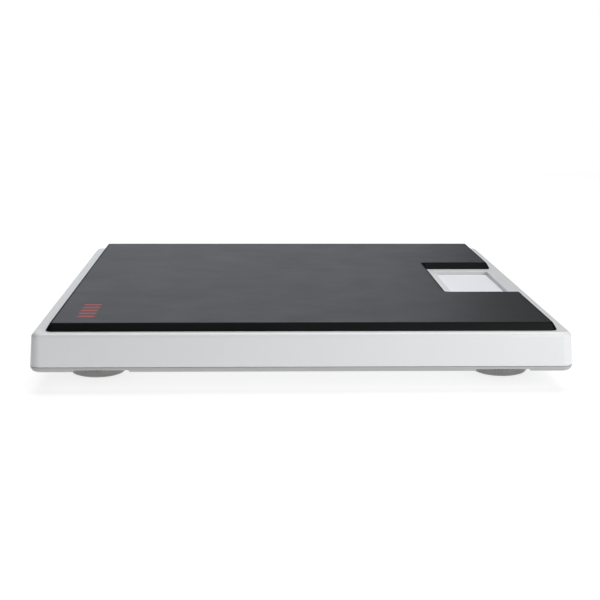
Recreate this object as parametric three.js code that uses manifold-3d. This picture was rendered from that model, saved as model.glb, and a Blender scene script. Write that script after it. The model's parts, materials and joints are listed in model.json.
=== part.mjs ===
// Flat electronic weighing scale for small animals.
//
// Millimetres, +Z up. The origin is on the floor under the middle of the scale. +X points to the
// side with the display, and Y runs along the long side. The front is -Y.
//
// From the floor up: four levelling feet, a base pan, four load cells hung from a steel load plate, a
// moulded cover with a sunken display, and a rubber mat.

import * as THREE from "three";
import { mergeVertices } from "three/addons/utils/BufferGeometryUtils.js";
import Module from "manifold-3d";

// ---------------------------------------------------------------- driving dimensions

const width = 373; // outside of the cover along X
const length = 433; // outside of the cover along Y
const groundClearance = 16.1; // floor to the underside of the pan

const seatGap = 0.1; // between large faces that rest on each other
const fitGap = 0.3; // round a piece that drops into another

const cover = {
  top: 2.5,
  wall: 2.5,
  cornerRadius: 8,
  edgeRadius: 3,
  draft: 1.2, // the walls lean in by this much from the parting line to the top
  bossRadius: 4.5,
  bossClearance: 7.8, // floor of the pan to the foot of a boss
};
const mat = { thickness: 5.6, bevelRun: 3.5, marginX: 10.3, marginY: 8.2, mouthRadius: 2 };
const notch = { depth: 57.8, length: 149 }; // at the foot of the mat's bevel
const pan = {
  floor: 2,
  inset: 0.4, // the pan's edge stands back from the cover by this much
  edgeRadius: 4,
  rimHeight: 1.8, // the rim round the underside reaches this far below it
  rimWidth: 6.6,
  thumbSlot: 37, // width of the slot in the rim in front of each foot
  thumbShift: 8.7, // how far each slot is moved from its foot towards the middle
  tongueWall: 1.6,
  tongueHeight: 6, // above the pan's floor
  postRadius: 5,
  studHole: 6,
};
const pit = { depth: 3, width: 46, length: 124, edgeMargin: 15.5, cornerRadius: 2 };
const well = { wall: 2.2, ledge: 2.5, ledgeThickness: 1.6 };
const pane = { thickness: 1.6, gasket: 0.6, gasketWidth: 1.7 };
const lcd = { width: 38, length: 112, thickness: 2.4, paneGap: 0.4 };
const holder = { width: 48, length: 126, depth: 5.4, shelf: 1, shelfDrop: 0.6 };
const strip = { width: 3, length: 100, offset: 15 };
const board = { width: 48, length: 126, thickness: 1.6 };
const boardScrew = { radius: 1.3, headRadius: 2.6, headHeight: 1.6, endMargin: 4.5, bite: 4 };
const processor = { side: 14, height: 1.6, y: -25 };
const converter = { width: 6, length: 9, height: 1.5, y: 25 };
const plate = { thickness: 2, marginX: 16.5, marginY: 18.5, cornerRadius: 6, flange: 8, displayGap: 3.5 };
const cell = {
  width: 16,
  length: 62,
  height: 12,
  tail: 8, // from the stud to the free end
  wellGap: 32.8, // from the fixed end to the display well, along Y
  gaugeRadius: 3.4,
  gaugePitch: 12,
};
const spacer = { length: 20, thickness: 2.4 };
const cellBolt = { radius: 2.5, pitch: 10, depth: 8 };
const foot = {
  fromSide: 40, // centre of a foot to the outside of the cover along X
  padRadius: 16.3,
  padHeight: 2.6,
  padEdge: 0.5,
  padShows: 0.6, // below the wheel
  wheelRadius: 19.6,
  wheelHeight: 8.4,
  wheelEdge: 2.2,
  wheelTopEdge: 1,
  hubRadius: 8,
  hubHeight: 2.5,
  studRadius: 4,
  studChamfer: 1,
  travel: 4, // how far a foot can be screwed in from its stored place
};
const battery = { radius: 7.25, length: 49.3, edge: 0.6, gap: 0.5, count: 4, buttonRadius: 2.75, button: 1.2 };
const batteryCase = { x: 50, wall: 1.8, endRoom: 3.8, headroom: 0.4, plateGap: 0.7 };
const door = { overlap: 2, recess: 0.3, flangeWidth: 1.8, thickness: 2.4 };
const track = { ledge: 1.2, roof: 1.8, wall: 1.8, runOut: 1 };
const contact = { thickness: 0.5, height: 9, wire: 0.35, coilRadius: 2.8, turns: 3, springLength: 2.6 };
const unitSwitch = { width: 6, length: 12, height: 6, knobWidth: 4, knobLength: 5, travel: 4, recess: 0.8 };
const screw = {
  radius: 1.5,
  headRadius: 3.2,
  headHeight: 2.2,
  headEdge: 0.6,
  tip: 1,
  seatDepth: 3,
  bore: 0.25,
  bite: 10,
  edgeInset: 11,
};
const lead = { radius: 1.1, straightOut: 5, straightUp: 3 };

const CORNER_SEGMENTS = 4;
const ROUND_SEGMENTS = 24;
const HOLE_SEGMENTS = 12;
const BATTERY_SEGMENTS = 16;
const LEAD_SIDES = 8;
const WIRE_SIDES = 5;
const WIRE_STEPS = 8; // in one turn of a coil

// ---------------------------------------------------------------- heights and places that follow

const panInsideZ = groundClearance + pan.floor;
const partingZ = panInsideZ + 2 * seatGap;

const batteryPitch = 2 * battery.radius + battery.gap;
const caseInsideX = battery.count * batteryPitch;
const caseInsideY = battery.length + battery.button + 2 * batteryCase.endRoom;
const doorHalfX = caseInsideX / 2 + door.overlap;
const doorHalfY = caseInsideY / 2 + door.overlap;
const doorTravel = 2 * doorHalfX - door.overlap;
const doorTopZ = groundClearance + door.recess + door.thickness;
const trackRoofZ = doorTopZ + fitGap;
const batteryZ = doorTopZ + batteryCase.headroom + battery.radius;
const caseTopZ = batteryZ + battery.radius + batteryCase.headroom + batteryCase.wall;

// The batteries stand under the load plate, so they set the height of the housing.
const plateBottomZ = caseTopZ + batteryCase.plateGap;
const plateTopZ = plateBottomZ + plate.thickness;
const coverUndersideZ = plateTopZ + fitGap;
const coverTopZ = coverUndersideZ + cover.top;
const cellTopZ = plateBottomZ - spacer.thickness - 2 * seatGap;
const cellBottomZ = cellTopZ - cell.height;

const paneTopZ = coverTopZ - pit.depth;
const paneBottomZ = paneTopZ - pane.thickness;
const ledgeZ = paneBottomZ - pane.gasket;
const wellBottomZ = ledgeZ - well.ledgeThickness;
const lcdBottomZ = paneBottomZ - lcd.paneGap - lcd.thickness;
const holderTopZ = wellBottomZ - seatGap;
const holderBottomZ = holderTopZ - holder.depth;
const boardTopZ = holderBottomZ - seatGap;
const boardBottomZ = boardTopZ - board.thickness;

const wheelTopZ = foot.padShows + foot.wheelHeight;
const studTopZ = plateBottomZ - foot.travel - 2 * fitGap;

const pitX = width / 2 - pit.edgeMargin - pit.width / 2;
const footX = width / 2 - foot.fromSide;
const footY = pit.length / 2 + well.wall + cell.wellGap + cell.length - cell.tail;

const screwX = width / 2 - screw.edgeInset;
const screwY = length / 2 - screw.edgeInset;
const screwSeatZ = groundClearance + screw.seatDepth;
const bossBottomZ = panInsideZ + cover.bossClearance;
const screwPlaces = [
  [-screwX, -screwY],
  [0, -screwY],
  [screwX, -screwY],
  [-screwX, screwY],
  [0, screwY],
  [screwX, screwY],
];
const corners = [
  { name: "front_left", x: -1, y: -1 },
  { name: "front_right", x: 1, y: -1 },
  { name: "back_left", x: -1, y: 1 },
  { name: "back_right", x: 1, y: 1 },
];

// ---------------------------------------------------------------- finishes

const finish = (color, roughness, metalness = 0, more = {}) =>
  new THREE.MeshStandardMaterial({ color, roughness, metalness, ...more });

const finishes = {
  mat: finish(0x3a3a3e, 0.55),
  housing: finish(0xe9eaea, 0.35),
  pane: finish(0xdfe3e8, 0.05, 0, { transparent: true, opacity: 0.35 }),
  gasket: finish(0x2c2c2e, 0.9),
  lcd: finish(0xa9b0a2, 0.2),
  holder: finish(0xd8d8d4, 0.5),
  board: finish(0x1f5a36, 0.45),
  chip: finish(0x1c1c1e, 0.5),
  steel: finish(0x9a9da0, 0.35, 1),
  aluminium: finish(0xc3c6c8, 0.4, 1),
  footGrey: finish(0x6f706b, 0.45),
  rubber: finish(0x4c4c49, 0.8),
  nickel: finish(0xc8c6bf, 0.25, 1),
  cellWrap: finish(0x3f6f8f, 0.35),
  lead: finish(0x8d8f90, 0.6),
  knob: finish(0x303033, 0.5),
};

// ---------------------------------------------------------------- solids and shapes

const wasm = await Module();
wasm.setup();

/** A closed three.js geometry as a manifold solid. */
function solidOf(geometry) {
  const bare = geometry.index ? geometry.toNonIndexed() : geometry.clone();
  bare.deleteAttribute("normal");
  bare.deleteAttribute("uv");
  const merged = mergeVertices(bare, 1e-4);
  const mesh = new wasm.Mesh({
    numProp: 3,
    vertProperties: merged.attributes.position.array,
    triVerts: new Uint32Array(merged.index.array),
  });
  return new wasm.Manifold(mesh);
}

/** A manifold solid as a three.js geometry. */
function geometryOf(solid) {
  const { vertProperties, triVerts, numProp, numVert } = solid.getMesh();
  const positions = new Float32Array(numVert * 3);
  for (let i = 0; i < numVert; i++) {
    positions.set(vertProperties.subarray(i * numProp, i * numProp + 3), i * 3);
  }
  const geometry = new THREE.BufferGeometry();
  geometry.setAttribute("position", new THREE.BufferAttribute(positions, 3));
  geometry.setIndex(new THREE.BufferAttribute(new Uint32Array(triVerts), 1));
  geometry.computeVertexNormals();
  return geometry;
}

/** Joins several geometries, then takes the cuts away from them. */
function shaped(joined, cuts = []) {
  const body = joined.map(solidOf).reduce((all, next) => all.add(next));
  return geometryOf(cuts.map(solidOf).reduce((left, cut) => left.subtract(cut), body));
}

function box(x0, x1, y0, y1, z0, z1) {
  return new THREE.BoxGeometry(x1 - x0, y1 - y0, z1 - z0).translate(
    (x0 + x1) / 2,
    (y0 + y1) / 2,
    (z0 + z1) / 2,
  );
}

/** A box from its middle in X and Y, its sizes, and its lowest and highest Z. */
function block(x, y, sizeX, sizeY, z0, z1) {
  return box(x - sizeX / 2, x + sizeX / 2, y - sizeY / 2, y + sizeY / 2, z0, z1);
}

function upright(radius, x, y, z0, z1, segments = HOLE_SEGMENTS) {
  return new THREE.CylinderGeometry(radius, radius, z1 - z0, segments)
    .rotateX(Math.PI / 2)
    .translate(x, y, (z0 + z1) / 2);
}

/** A cylinder along X. */
function crossPin(radius, x0, x1, y, z, segments = HOLE_SEGMENTS) {
  return new THREE.CylinderGeometry(radius, radius, x1 - x0, segments)
    .rotateZ(Math.PI / 2)
    .translate((x0 + x1) / 2, y, z);
}

/** A rectangle centred on (x, y) with round corners. */
function roundedRectangle(x, y, sizeX, sizeY, radius) {
  const [left, right] = [x - sizeX / 2 + radius, x + sizeX / 2 - radius];
  const [low, high] = [y - sizeY / 2 + radius, y + sizeY / 2 - radius];
  const shape = new THREE.Shape();
  shape.absarc(right, low, radius, -Math.PI / 2, 0);
  shape.absarc(right, high, radius, 0, Math.PI / 2);
  shape.absarc(left, high, radius, Math.PI / 2, Math.PI);
  shape.absarc(left, low, radius, Math.PI, 1.5 * Math.PI);
  shape.closePath();
  return shape;
}

function slab(shape, z0, z1, options = {}) {
  return new THREE.ExtrudeGeometry(shape, {
    depth: z1 - z0,
    bevelEnabled: false,
    curveSegments: CORNER_SEGMENTS,
    ...options,
  }).translate(0, 0, z0);
}

/** A block with round vertical corners whose top and bottom edges are rounded too. */
function pillow(sizeX, sizeY, radius, edge, z0, z1) {
  const shape = roundedRectangle(0, 0, sizeX - 2 * edge, sizeY - 2 * edge, radius - edge);
  return slab(shape, z0 + edge, z1 - edge, {
    bevelEnabled: true,
    bevelThickness: edge,
    bevelSize: edge,
    bevelSegments: 3,
  });
}

/** A turned solid from (radius, height) points that start and end on the axis, or close on themselves. */
function turned(points, x, y, segments = ROUND_SEGMENTS) {
  const profile = points.map(([radius, z]) => new THREE.Vector2(radius, z));
  return new THREE.LatheGeometry(profile, segments).rotateX(Math.PI / 2).translate(x, y, 0);
}

/** Points on a quarter circle, for a rounded edge in a turned profile. */
function quarter(radius, z, edge, from, steps = 2) {
  return Array.from({ length: steps + 1 }, (_, i) => {
    const angle = from + (i / steps) * (Math.PI / 2);
    return [radius + edge * Math.cos(angle), z + edge * Math.sin(angle)];
  });
}

function circle(radius, sides) {
  const shape = new THREE.Shape();
  for (let i = 0; i < sides; i++) {
    const angle = (i / sides) * 2 * Math.PI;
    const place = [radius * Math.cos(angle), radius * Math.sin(angle)];
    if (i === 0) shape.moveTo(...place);
    else shape.lineTo(...place);
  }
  shape.closePath();
  return shape;
}

/** A round tube along a smooth curve through the points. */
function tube(points, radius, steps) {
  const path = new THREE.CatmullRomCurve3(points.map((point) => new THREE.Vector3(...point)));
  return new THREE.ExtrudeGeometry(circle(radius, LEAD_SIDES), { steps, extrudePath: path, bevelEnabled: false });
}

/** Leans the walls in towards the top by the cover's draft. */
function drafted(geometry) {
  const position = geometry.attributes.position;
  for (let i = 0; i < position.count; i++) {
    const rise = (position.getZ(i) - partingZ) / (coverTopZ - partingZ);
    position.setX(i, position.getX(i) * (1 - (cover.draft * rise) / (width / 2)));
    position.setY(i, position.getY(i) * (1 - (cover.draft * rise) / (length / 2)));
  }
  return geometry;
}

const scale = new THREE.Group();

function addPart(name, geometry, material) {
  const mesh = new THREE.Mesh(geometry, material);
  mesh.name = name;
  scale.add(mesh);
  return mesh;
}

// ---------------------------------------------------------------- mat and housing

/** The mat's plan at the top of its bevel: a rectangle with a notch in its +X side. */
function matOutline() {
  const right = width / 2 - mat.marginX - mat.bevelRun;
  const top = length / 2 - mat.marginY - mat.bevelRun;
  const notchX = width / 2 - mat.marginX - notch.depth - mat.bevelRun;
  const notchY = notch.length / 2 + mat.bevelRun;
  const r = mat.mouthRadius;
  const shape = new THREE.Shape();
  shape.moveTo(-right, -top);
  shape.lineTo(right, -top);
  shape.absarc(right - r, -notchY - r, r, 0, Math.PI / 2);
  shape.lineTo(notchX, -notchY);
  shape.lineTo(notchX, notchY);
  shape.absarc(right - r, notchY + r, r, -Math.PI / 2, 0);
  shape.lineTo(right, top);
  shape.lineTo(-right, top);
  shape.closePath();
  return shape;
}

function makeMat() {
  const bottomZ = coverTopZ + seatGap;
  const topZ = coverTopZ + mat.thickness;
  const thickness = topZ - bottomZ;
  const doubled = slab(matOutline(), bottomZ - thickness, bottomZ, {
    bevelEnabled: true,
    bevelThickness: thickness,
    bevelSize: mat.bevelRun,
    bevelSegments: 1,
    curveSegments: 4,
  });
  const lower = box(-width, width, -length, length, bottomZ - 3 * thickness, bottomZ);
  addPart("platform_mat", shaped([doubled], [lower]), finishes.mat);
}

function makeCover() {
  const outside = drafted(
    pillow(width, length, cover.cornerRadius, cover.edgeRadius, partingZ - 2 * cover.edgeRadius, coverTopZ),
  );
  const insideRadius = cover.cornerRadius - cover.wall;
  const insideShape = roundedRectangle(0, 0, width - 2 * cover.wall, length - 2 * cover.wall, insideRadius);
  const inside = drafted(slab(insideShape, partingZ - cover.wall, coverUndersideZ));
  const below = box(-width, width, -length, length, partingZ - 4 * cover.edgeRadius, partingZ);
  const shell = shaped([outside], [below, inside]);

  const wellBlock = block(
    pitX,
    0,
    pit.width + 2 * well.wall,
    pit.length + 2 * well.wall,
    wellBottomZ,
    coverTopZ - cover.top / 2,
  );
  const bosses = screwPlaces.map(([x, y]) =>
    upright(cover.bossRadius, x, y, bossBottomZ, coverTopZ - cover.top / 2),
  );
  const pitCut = slab(
    roundedRectangle(pitX, 0, pit.width, pit.length, pit.cornerRadius),
    ledgeZ,
    coverTopZ + 1,
  );
  const ledgeCut = block(
    pitX,
    0,
    pit.width - 2 * well.ledge,
    pit.length - 2 * well.ledge,
    wellBottomZ - 1,
    coverTopZ,
  );
  const bores = screwPlaces.map(([x, y]) =>
    upright(screw.radius + screw.bore, x, y, bossBottomZ - 1, bossBottomZ + screw.bite + 1),
  );
  const moulding = shaped([shell, wellBlock, ...bosses], [pitCut, ledgeCut, ...bores]);
  addPart("top_cover", moulding, finishes.housing);
}

/** The battery door's track under the pan: [xLow, xHigh] of the room that the door slides in. */
function trackSpan() {
  return [
    batteryCase.x - doorHalfX - doorTravel - track.runOut,
    batteryCase.x + doorHalfX + fitGap,
  ];
}

function makePan() {
  const outsideX = width - 2 * pan.inset;
  const outsideY = length - 2 * pan.inset;
  const outsideRadius = cover.cornerRadius - pan.inset;
  const twice = 2 * groundClearance + 2 * pan.floor;
  const rimBottomZ = groundClearance - pan.rimHeight;
  const rounded = pillow(outsideX, outsideY, outsideRadius, pan.edgeRadius, rimBottomZ, twice);
  const above = box(-width, width, -length, length, panInsideZ, twice + 1);
  const insideRim = slab(
    roundedRectangle(
      0,
      0,
      outsideX - 2 * pan.rimWidth,
      outsideY - 2 * pan.rimWidth,
      outsideRadius - pan.rimWidth,
    ),
    rimBottomZ - 1,
    groundClearance,
  );
  // The rim is open in front of each foot, so that a thumb can turn the wheel.
  const thumbSlots = corners.map((corner) =>
    block(
      corner.x * (footX - pan.thumbShift),
      (corner.y * length) / 2,
      pan.thumbSlot,
      2 * (pan.inset + pan.rimWidth + 1),
      rimBottomZ - 1,
      groundClearance,
    ),
  );

  const tongueInset = cover.wall + cover.draft / 2;
  const tongueRadius = cover.cornerRadius - tongueInset;
  const tongueZ = [groundClearance + pan.floor / 2, panInsideZ + pan.tongueHeight];
  const tongue = (inset, z0, z1) =>
    slab(
      roundedRectangle(0, 0, width - 2 * inset, length - 2 * inset, tongueRadius + tongueInset - inset),
      z0,
      z1,
    );
  const tongueRing = shaped(
    [tongue(tongueInset, ...tongueZ)],
    [tongue(tongueInset + pan.tongueWall, panInsideZ, tongueZ[1] + 1)],
  );

  const studHoles = corners.map((corner) =>
    upright(pan.studHole, corner.x * footX, corner.y * footY, groundClearance - 1, panInsideZ + 1),
  );
  const posts = screwPlaces.map(([x, y]) =>
    upright(pan.postRadius, x, y, groundClearance + pan.floor / 2, bossBottomZ - fitGap),
  );
  const counterbores = screwPlaces.map(([x, y]) =>
    upright(screw.headRadius + fitGap, x, y, groundClearance - 1, screwSeatZ),
  );
  const throughHoles = screwPlaces.map(([x, y]) =>
    upright(screw.radius + fitGap, x, y, groundClearance, bossBottomZ + 1),
  );

  // The door hangs by its flanges on two ledges, and slides along -X under the track's roof.
  const trackTopZ = trackRoofZ + track.roof;
  const [trackLow, trackHigh] = trackSpan();
  const trackHalfY = doorHalfY + fitGap;
  const trackBody = box(
    trackLow - track.wall,
    trackHigh + track.wall,
    -trackHalfY - track.wall,
    trackHalfY + track.wall,
    groundClearance + pan.floor / 2,
    trackTopZ,
  );
  const ledgeTopZ = groundClearance + track.ledge;
  const channel = box(trackLow, trackHigh, -trackHalfY, trackHalfY, ledgeTopZ, trackRoofZ);
  const betweenLedges = block(
    (trackLow + trackHigh) / 2,
    0,
    trackHigh - trackLow,
    2 * (doorHalfY - door.flangeWidth),
    groundClearance - 1,
    trackRoofZ,
  );
  const mouth = block(batteryCase.x, 0, caseInsideX, caseInsideY, groundClearance - 1, trackTopZ + 1);

  const switchSlot = block(
    pitX,
    0,
    unitSwitch.knobWidth + 2 * fitGap,
    unitSwitch.knobLength + unitSwitch.travel + 2 * fitGap,
    groundClearance - 1,
    panInsideZ + 1,
  );
  addPart(
    "base_pan",
    shaped(
      [shaped([rounded], [above, insideRim, ...thumbSlots]), tongueRing, ...posts, trackBody],
      [...studHoles, ...counterbores, ...throughHoles, channel, betweenLedges, mouth, switchSlot],
    ),
    finishes.housing,
  );
}

// ---------------------------------------------------------------- display

function makeDisplay() {
  const paneX = pit.width - 2 * fitGap;
  const paneY = pit.length - 2 * fitGap;
  const paneShape = roundedRectangle(pitX, 0, paneX, paneY, pit.cornerRadius - fitGap);
  addPart("display_window", slab(paneShape, paneBottomZ, paneTopZ), finishes.pane);

  const gasketShape = roundedRectangle(pitX, 0, paneX, paneY, pit.cornerRadius - fitGap);
  gasketShape.holes.push(
    roundedRectangle(pitX, 0, paneX - 2 * pane.gasketWidth, paneY - 2 * pane.gasketWidth, fitGap),
  );
  addPart(
    "window_gasket",
    slab(gasketShape, ledgeZ + seatGap, paneBottomZ - seatGap, { curveSegments: 2 }),
    finishes.gasket,
  );

  addPart(
    "lcd_panel",
    block(pitX, 0, lcd.width, lcd.length, lcdBottomZ, lcdBottomZ + lcd.thickness),
    finishes.lcd,
  );

  const shelfZ = lcdBottomZ - seatGap;
  const screwReach = boardTopZ + boardScrew.bite;
  addPart(
    "lcd_holder",
    shaped(
      [block(pitX, 0, holder.width, holder.length, holderBottomZ, holderTopZ)],
      [
        block(pitX, 0, lcd.width + 2 * fitGap, lcd.length + 2 * fitGap, shelfZ, holderTopZ + 1),
        block(
          pitX,
          0,
          lcd.width - 2 * holder.shelf,
          lcd.length - 2 * holder.shelf,
          holderBottomZ - 1,
          holderTopZ + 1,
        ),
        ...[-1, 1].map((end) =>
          upright(
            boardScrew.radius + fitGap / 2,
            pitX,
            end * (board.length / 2 - boardScrew.endMargin),
            holderBottomZ - 1,
            screwReach + fitGap,
          ),
        ),
      ],
    ),
    finishes.holder,
  );

  for (const [name, side] of [
    ["lcd_strip_left", -1],
    ["lcd_strip_right", 1],
  ]) {
    addPart(
      name,
      block(
        pitX + side * strip.offset,
        0,
        strip.width,
        strip.length,
        boardTopZ + seatGap,
        lcdBottomZ - seatGap,
      ),
      finishes.gasket,
    );
  }
}

// ---------------------------------------------------------------- electronics

function makeElectronics() {
  const ends = [-1, 1].map((end) => end * (board.length / 2 - boardScrew.endMargin));
  addPart(
    "main_board",
    shaped(
      [block(pitX, 0, board.width, board.length, boardBottomZ, boardTopZ)],
      ends.map((y) => upright(boardScrew.radius + fitGap, pitX, y, boardBottomZ - 1, boardTopZ + 1)),
    ),
    finishes.board,
  );
  ends.forEach((y, i) => {
    const headTop = boardBottomZ - seatGap;
    const tipZ = boardTopZ + boardScrew.bite;
    addPart(
      `board_screw_${i + 1}`,
      shaped([
        upright(boardScrew.headRadius, pitX, y, headTop - boardScrew.headHeight, headTop),
        upright(boardScrew.radius, pitX, y, headTop - boardScrew.headHeight / 2, tipZ),
      ]),
      finishes.steel,
    );
  });

  const chipTop = boardBottomZ - seatGap;
  addPart(
    "processor_chip",
    block(pitX, processor.y, processor.side, processor.side, chipTop - processor.height, chipTop),
    finishes.chip,
  );
  addPart(
    "converter_chip",
    block(pitX, converter.y, converter.width, converter.length, chipTop - converter.height, chipTop),
    finishes.chip,
  );

  addPart(
    "unit_switch_body",
    block(pitX, 0, unitSwitch.width, unitSwitch.length, chipTop - unitSwitch.height, chipTop),
    finishes.steel,
  );
  addPart(
    "unit_switch_knob",
    block(
      pitX,
      -unitSwitch.travel / 2,
      unitSwitch.knobWidth,
      unitSwitch.knobLength,
      groundClearance + unitSwitch.recess,
      chipTop - unitSwitch.height - seatGap,
    ),
    finishes.knob,
  );
}

// ---------------------------------------------------------------- load plate and cells

/** The two bolt places of the load cell in a corner. */
function boltPlaces(corner) {
  const innerEnd = footY + cell.tail - cell.length;
  const middle = innerEnd + spacer.length / 2;
  return [-1, 1].map((side) => [corner.x * footX, corner.y * (middle + (side * cellBolt.pitch) / 2)]);
}

function makeLoadPlate() {
  const sizeX = width - 2 * plate.marginX;
  const sizeY = length - 2 * plate.marginY;
  const displayCut = box(
    pitX - pit.width / 2 - well.wall - plate.displayGap,
    width,
    -pit.length / 2 - well.wall - plate.displayGap,
    pit.length / 2 + well.wall + plate.displayGap,
    plateBottomZ - plate.flange - 1,
    plateTopZ + 1,
  );
  const flanges = [-1, 1].map((side) =>
    block(
      side * (sizeX / 2 - plate.thickness / 2),
      0,
      plate.thickness,
      sizeY - 4 * plate.cornerRadius,
      plateBottomZ - plate.flange,
      plateTopZ - plate.thickness / 2,
    ),
  );
  const boltHoles = corners
    .flatMap(boltPlaces)
    .map(([x, y]) => upright(cellBolt.radius + fitGap, x, y, plateBottomZ - 1, plateTopZ + 1));
  addPart(
    "load_plate",
    shaped(
      [slab(roundedRectangle(0, 0, sizeX, sizeY, plate.cornerRadius), plateBottomZ, plateTopZ), ...flanges],
      [displayCut, ...boltHoles],
    ),
    finishes.steel,
  );
}

function makeLoadCells() {
  const gaugeZ = (cellTopZ + cellBottomZ) / 2;
  for (const corner of corners) {
    const x = corner.x * footX;
    const outerEnd = corner.y * (footY + cell.tail);
    const innerEnd = corner.y * (footY + cell.tail - cell.length);
    const gaugeY = (outerEnd + innerEnd) / 2;
    const bolts = boltPlaces(corner);
    const eyes = [-1, 1].map((side) =>
      crossPin(
        cell.gaugeRadius,
        x - cell.width,
        x + cell.width,
        gaugeY + (side * cell.gaugePitch) / 2,
        gaugeZ,
      ),
    );
    const bridge = block(x, gaugeY, 2 * cell.width, cell.gaugePitch, gaugeZ - 1, gaugeZ + 1);
    const studY = corner.y * footY;
    addPart(
      `load_cell_${corner.name}`,
      shaped(
        [
          box(
            x - cell.width / 2,
            x + cell.width / 2,
            Math.min(outerEnd, innerEnd),
            Math.max(outerEnd, innerEnd),
            cellBottomZ,
            cellTopZ,
          ),
        ],
        [
          ...eyes,
          bridge,
          upright(foot.studRadius + fitGap, x, studY, cellBottomZ - 1, cellTopZ + 1, ROUND_SEGMENTS),
          ...bolts.map(([boltX, boltY]) =>
            upright(cellBolt.radius, boltX, boltY, cellTopZ - cellBolt.depth, cellTopZ + 1),
          ),
        ],
      ),
      finishes.aluminium,
    );

    const spacerMiddle = innerEnd + (corner.y * spacer.length) / 2;
    addPart(
      `cell_spacer_${corner.name}`,
      shaped(
        [block(x, spacerMiddle, cell.width, spacer.length, cellTopZ + seatGap, plateBottomZ - seatGap)],
        bolts.map(([boltX, boltY]) =>
          upright(cellBolt.radius + fitGap, boltX, boltY, cellTopZ - 1, plateTopZ),
        ),
      ),
      finishes.steel,
    );
  }
}

// ---------------------------------------------------------------- feet

function makeFeet() {
  const { padRadius, padHeight, padEdge, padShows, hubRadius } = foot;
  const { wheelRadius, wheelEdge, wheelTopEdge, studRadius, studChamfer } = foot;
  const hubTopZ = wheelTopZ + foot.hubHeight;
  const bore = studRadius + fitGap;
  const recessZ = padHeight + fitGap;
  const padProfile = [
    [0, 0],
    ...quarter(padRadius - padEdge, padEdge, padEdge, -Math.PI / 2),
    [padRadius, padHeight],
    [0, padHeight],
  ];
  const wheelProfile = [
    [bore, recessZ],
    [padRadius + fitGap, recessZ],
    [padRadius + fitGap, padShows],
    ...quarter(wheelRadius - wheelEdge, padShows + wheelEdge, wheelEdge, -Math.PI / 2),
    ...quarter(wheelRadius - wheelTopEdge, wheelTopZ - wheelTopEdge, wheelTopEdge, 0),
    [hubRadius, wheelTopZ],
    [hubRadius, hubTopZ],
    [bore, hubTopZ],
    [bore, recessZ],
  ];
  const studProfile = [
    [0, recessZ],
    [studRadius, recessZ],
    [studRadius, studTopZ - studChamfer],
    [studRadius - studChamfer, studTopZ],
    [0, studTopZ],
  ];
  for (const corner of corners) {
    const [x, y] = [corner.x * footX, corner.y * footY];
    addPart(`foot_pad_${corner.name}`, turned(padProfile, x, y), finishes.rubber);
    addPart(`foot_wheel_${corner.name}`, turned(wheelProfile, x, y), finishes.footGrey);
    addPart(`foot_stud_${corner.name}`, turned(studProfile, x, y, HOLE_SEGMENTS), finishes.steel);
  }
}

// ---------------------------------------------------------------- battery compartment

function makeBatteryCase() {
  const outerX = caseInsideX + 2 * batteryCase.wall;
  const outerY = caseInsideY + 2 * batteryCase.wall;
  const bottomZ = trackRoofZ + track.roof + seatGap;
  addPart(
    "battery_case",
    shaped(
      [block(batteryCase.x, 0, outerX, outerY, bottomZ, caseTopZ)],
      [block(batteryCase.x, 0, caseInsideX, caseInsideY, bottomZ - 1, caseTopZ - batteryCase.wall)],
    ),
    finishes.holder,
  );
}

/** Battery places along X, with the end that each cell's button faces. */
function batteryPlaces() {
  return Array.from({ length: battery.count }, (_, i) => ({
    x: batteryCase.x + (i - (battery.count - 1) / 2) * batteryPitch,
    buttonEnd: i % 2 === 0 ? 1 : -1,
  }));
}

function makeBatteries() {
  const half = battery.length / 2;
  batteryPlaces().forEach(({ x, buttonEnd }, i) => {
    const profile = [
      [0, -half],
      [battery.radius - battery.edge, -half],
      [battery.radius, -half + battery.edge],
      [battery.radius, half - battery.edge],
      [battery.radius - battery.edge, half],
      [battery.buttonRadius, half],
      [battery.buttonRadius, half + battery.button],
      [0, half + battery.button],
    ];
    // Turned about Z, then laid along Y with the button at its own end.
    const geometry = turned(profile, 0, 0, BATTERY_SEGMENTS)
      .rotateX(-Math.PI / 2)
      .rotateZ(buttonEnd > 0 ? 0 : Math.PI)
      .translate(x, (-buttonEnd * battery.button) / 2, batteryZ);
    addPart(`battery_cell_${i + 1}`, geometry, finishes.cellWrap);
  });
}

/** A helix of wire along Y, from a contact strip to the flat end of a cell. */
class ContactCoil extends THREE.Curve {
  constructor(x, y, z, direction) {
    super();
    Object.assign(this, { x, y, z, direction });
  }

  getPoint(t, target = new THREE.Vector3()) {
    const angle = 2 * Math.PI * contact.turns * t;
    return target.set(
      this.x + contact.coilRadius * Math.cos(angle),
      this.y + this.direction * contact.springLength * t,
      this.z + contact.coilRadius * Math.sin(angle),
    );
  }
}

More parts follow.
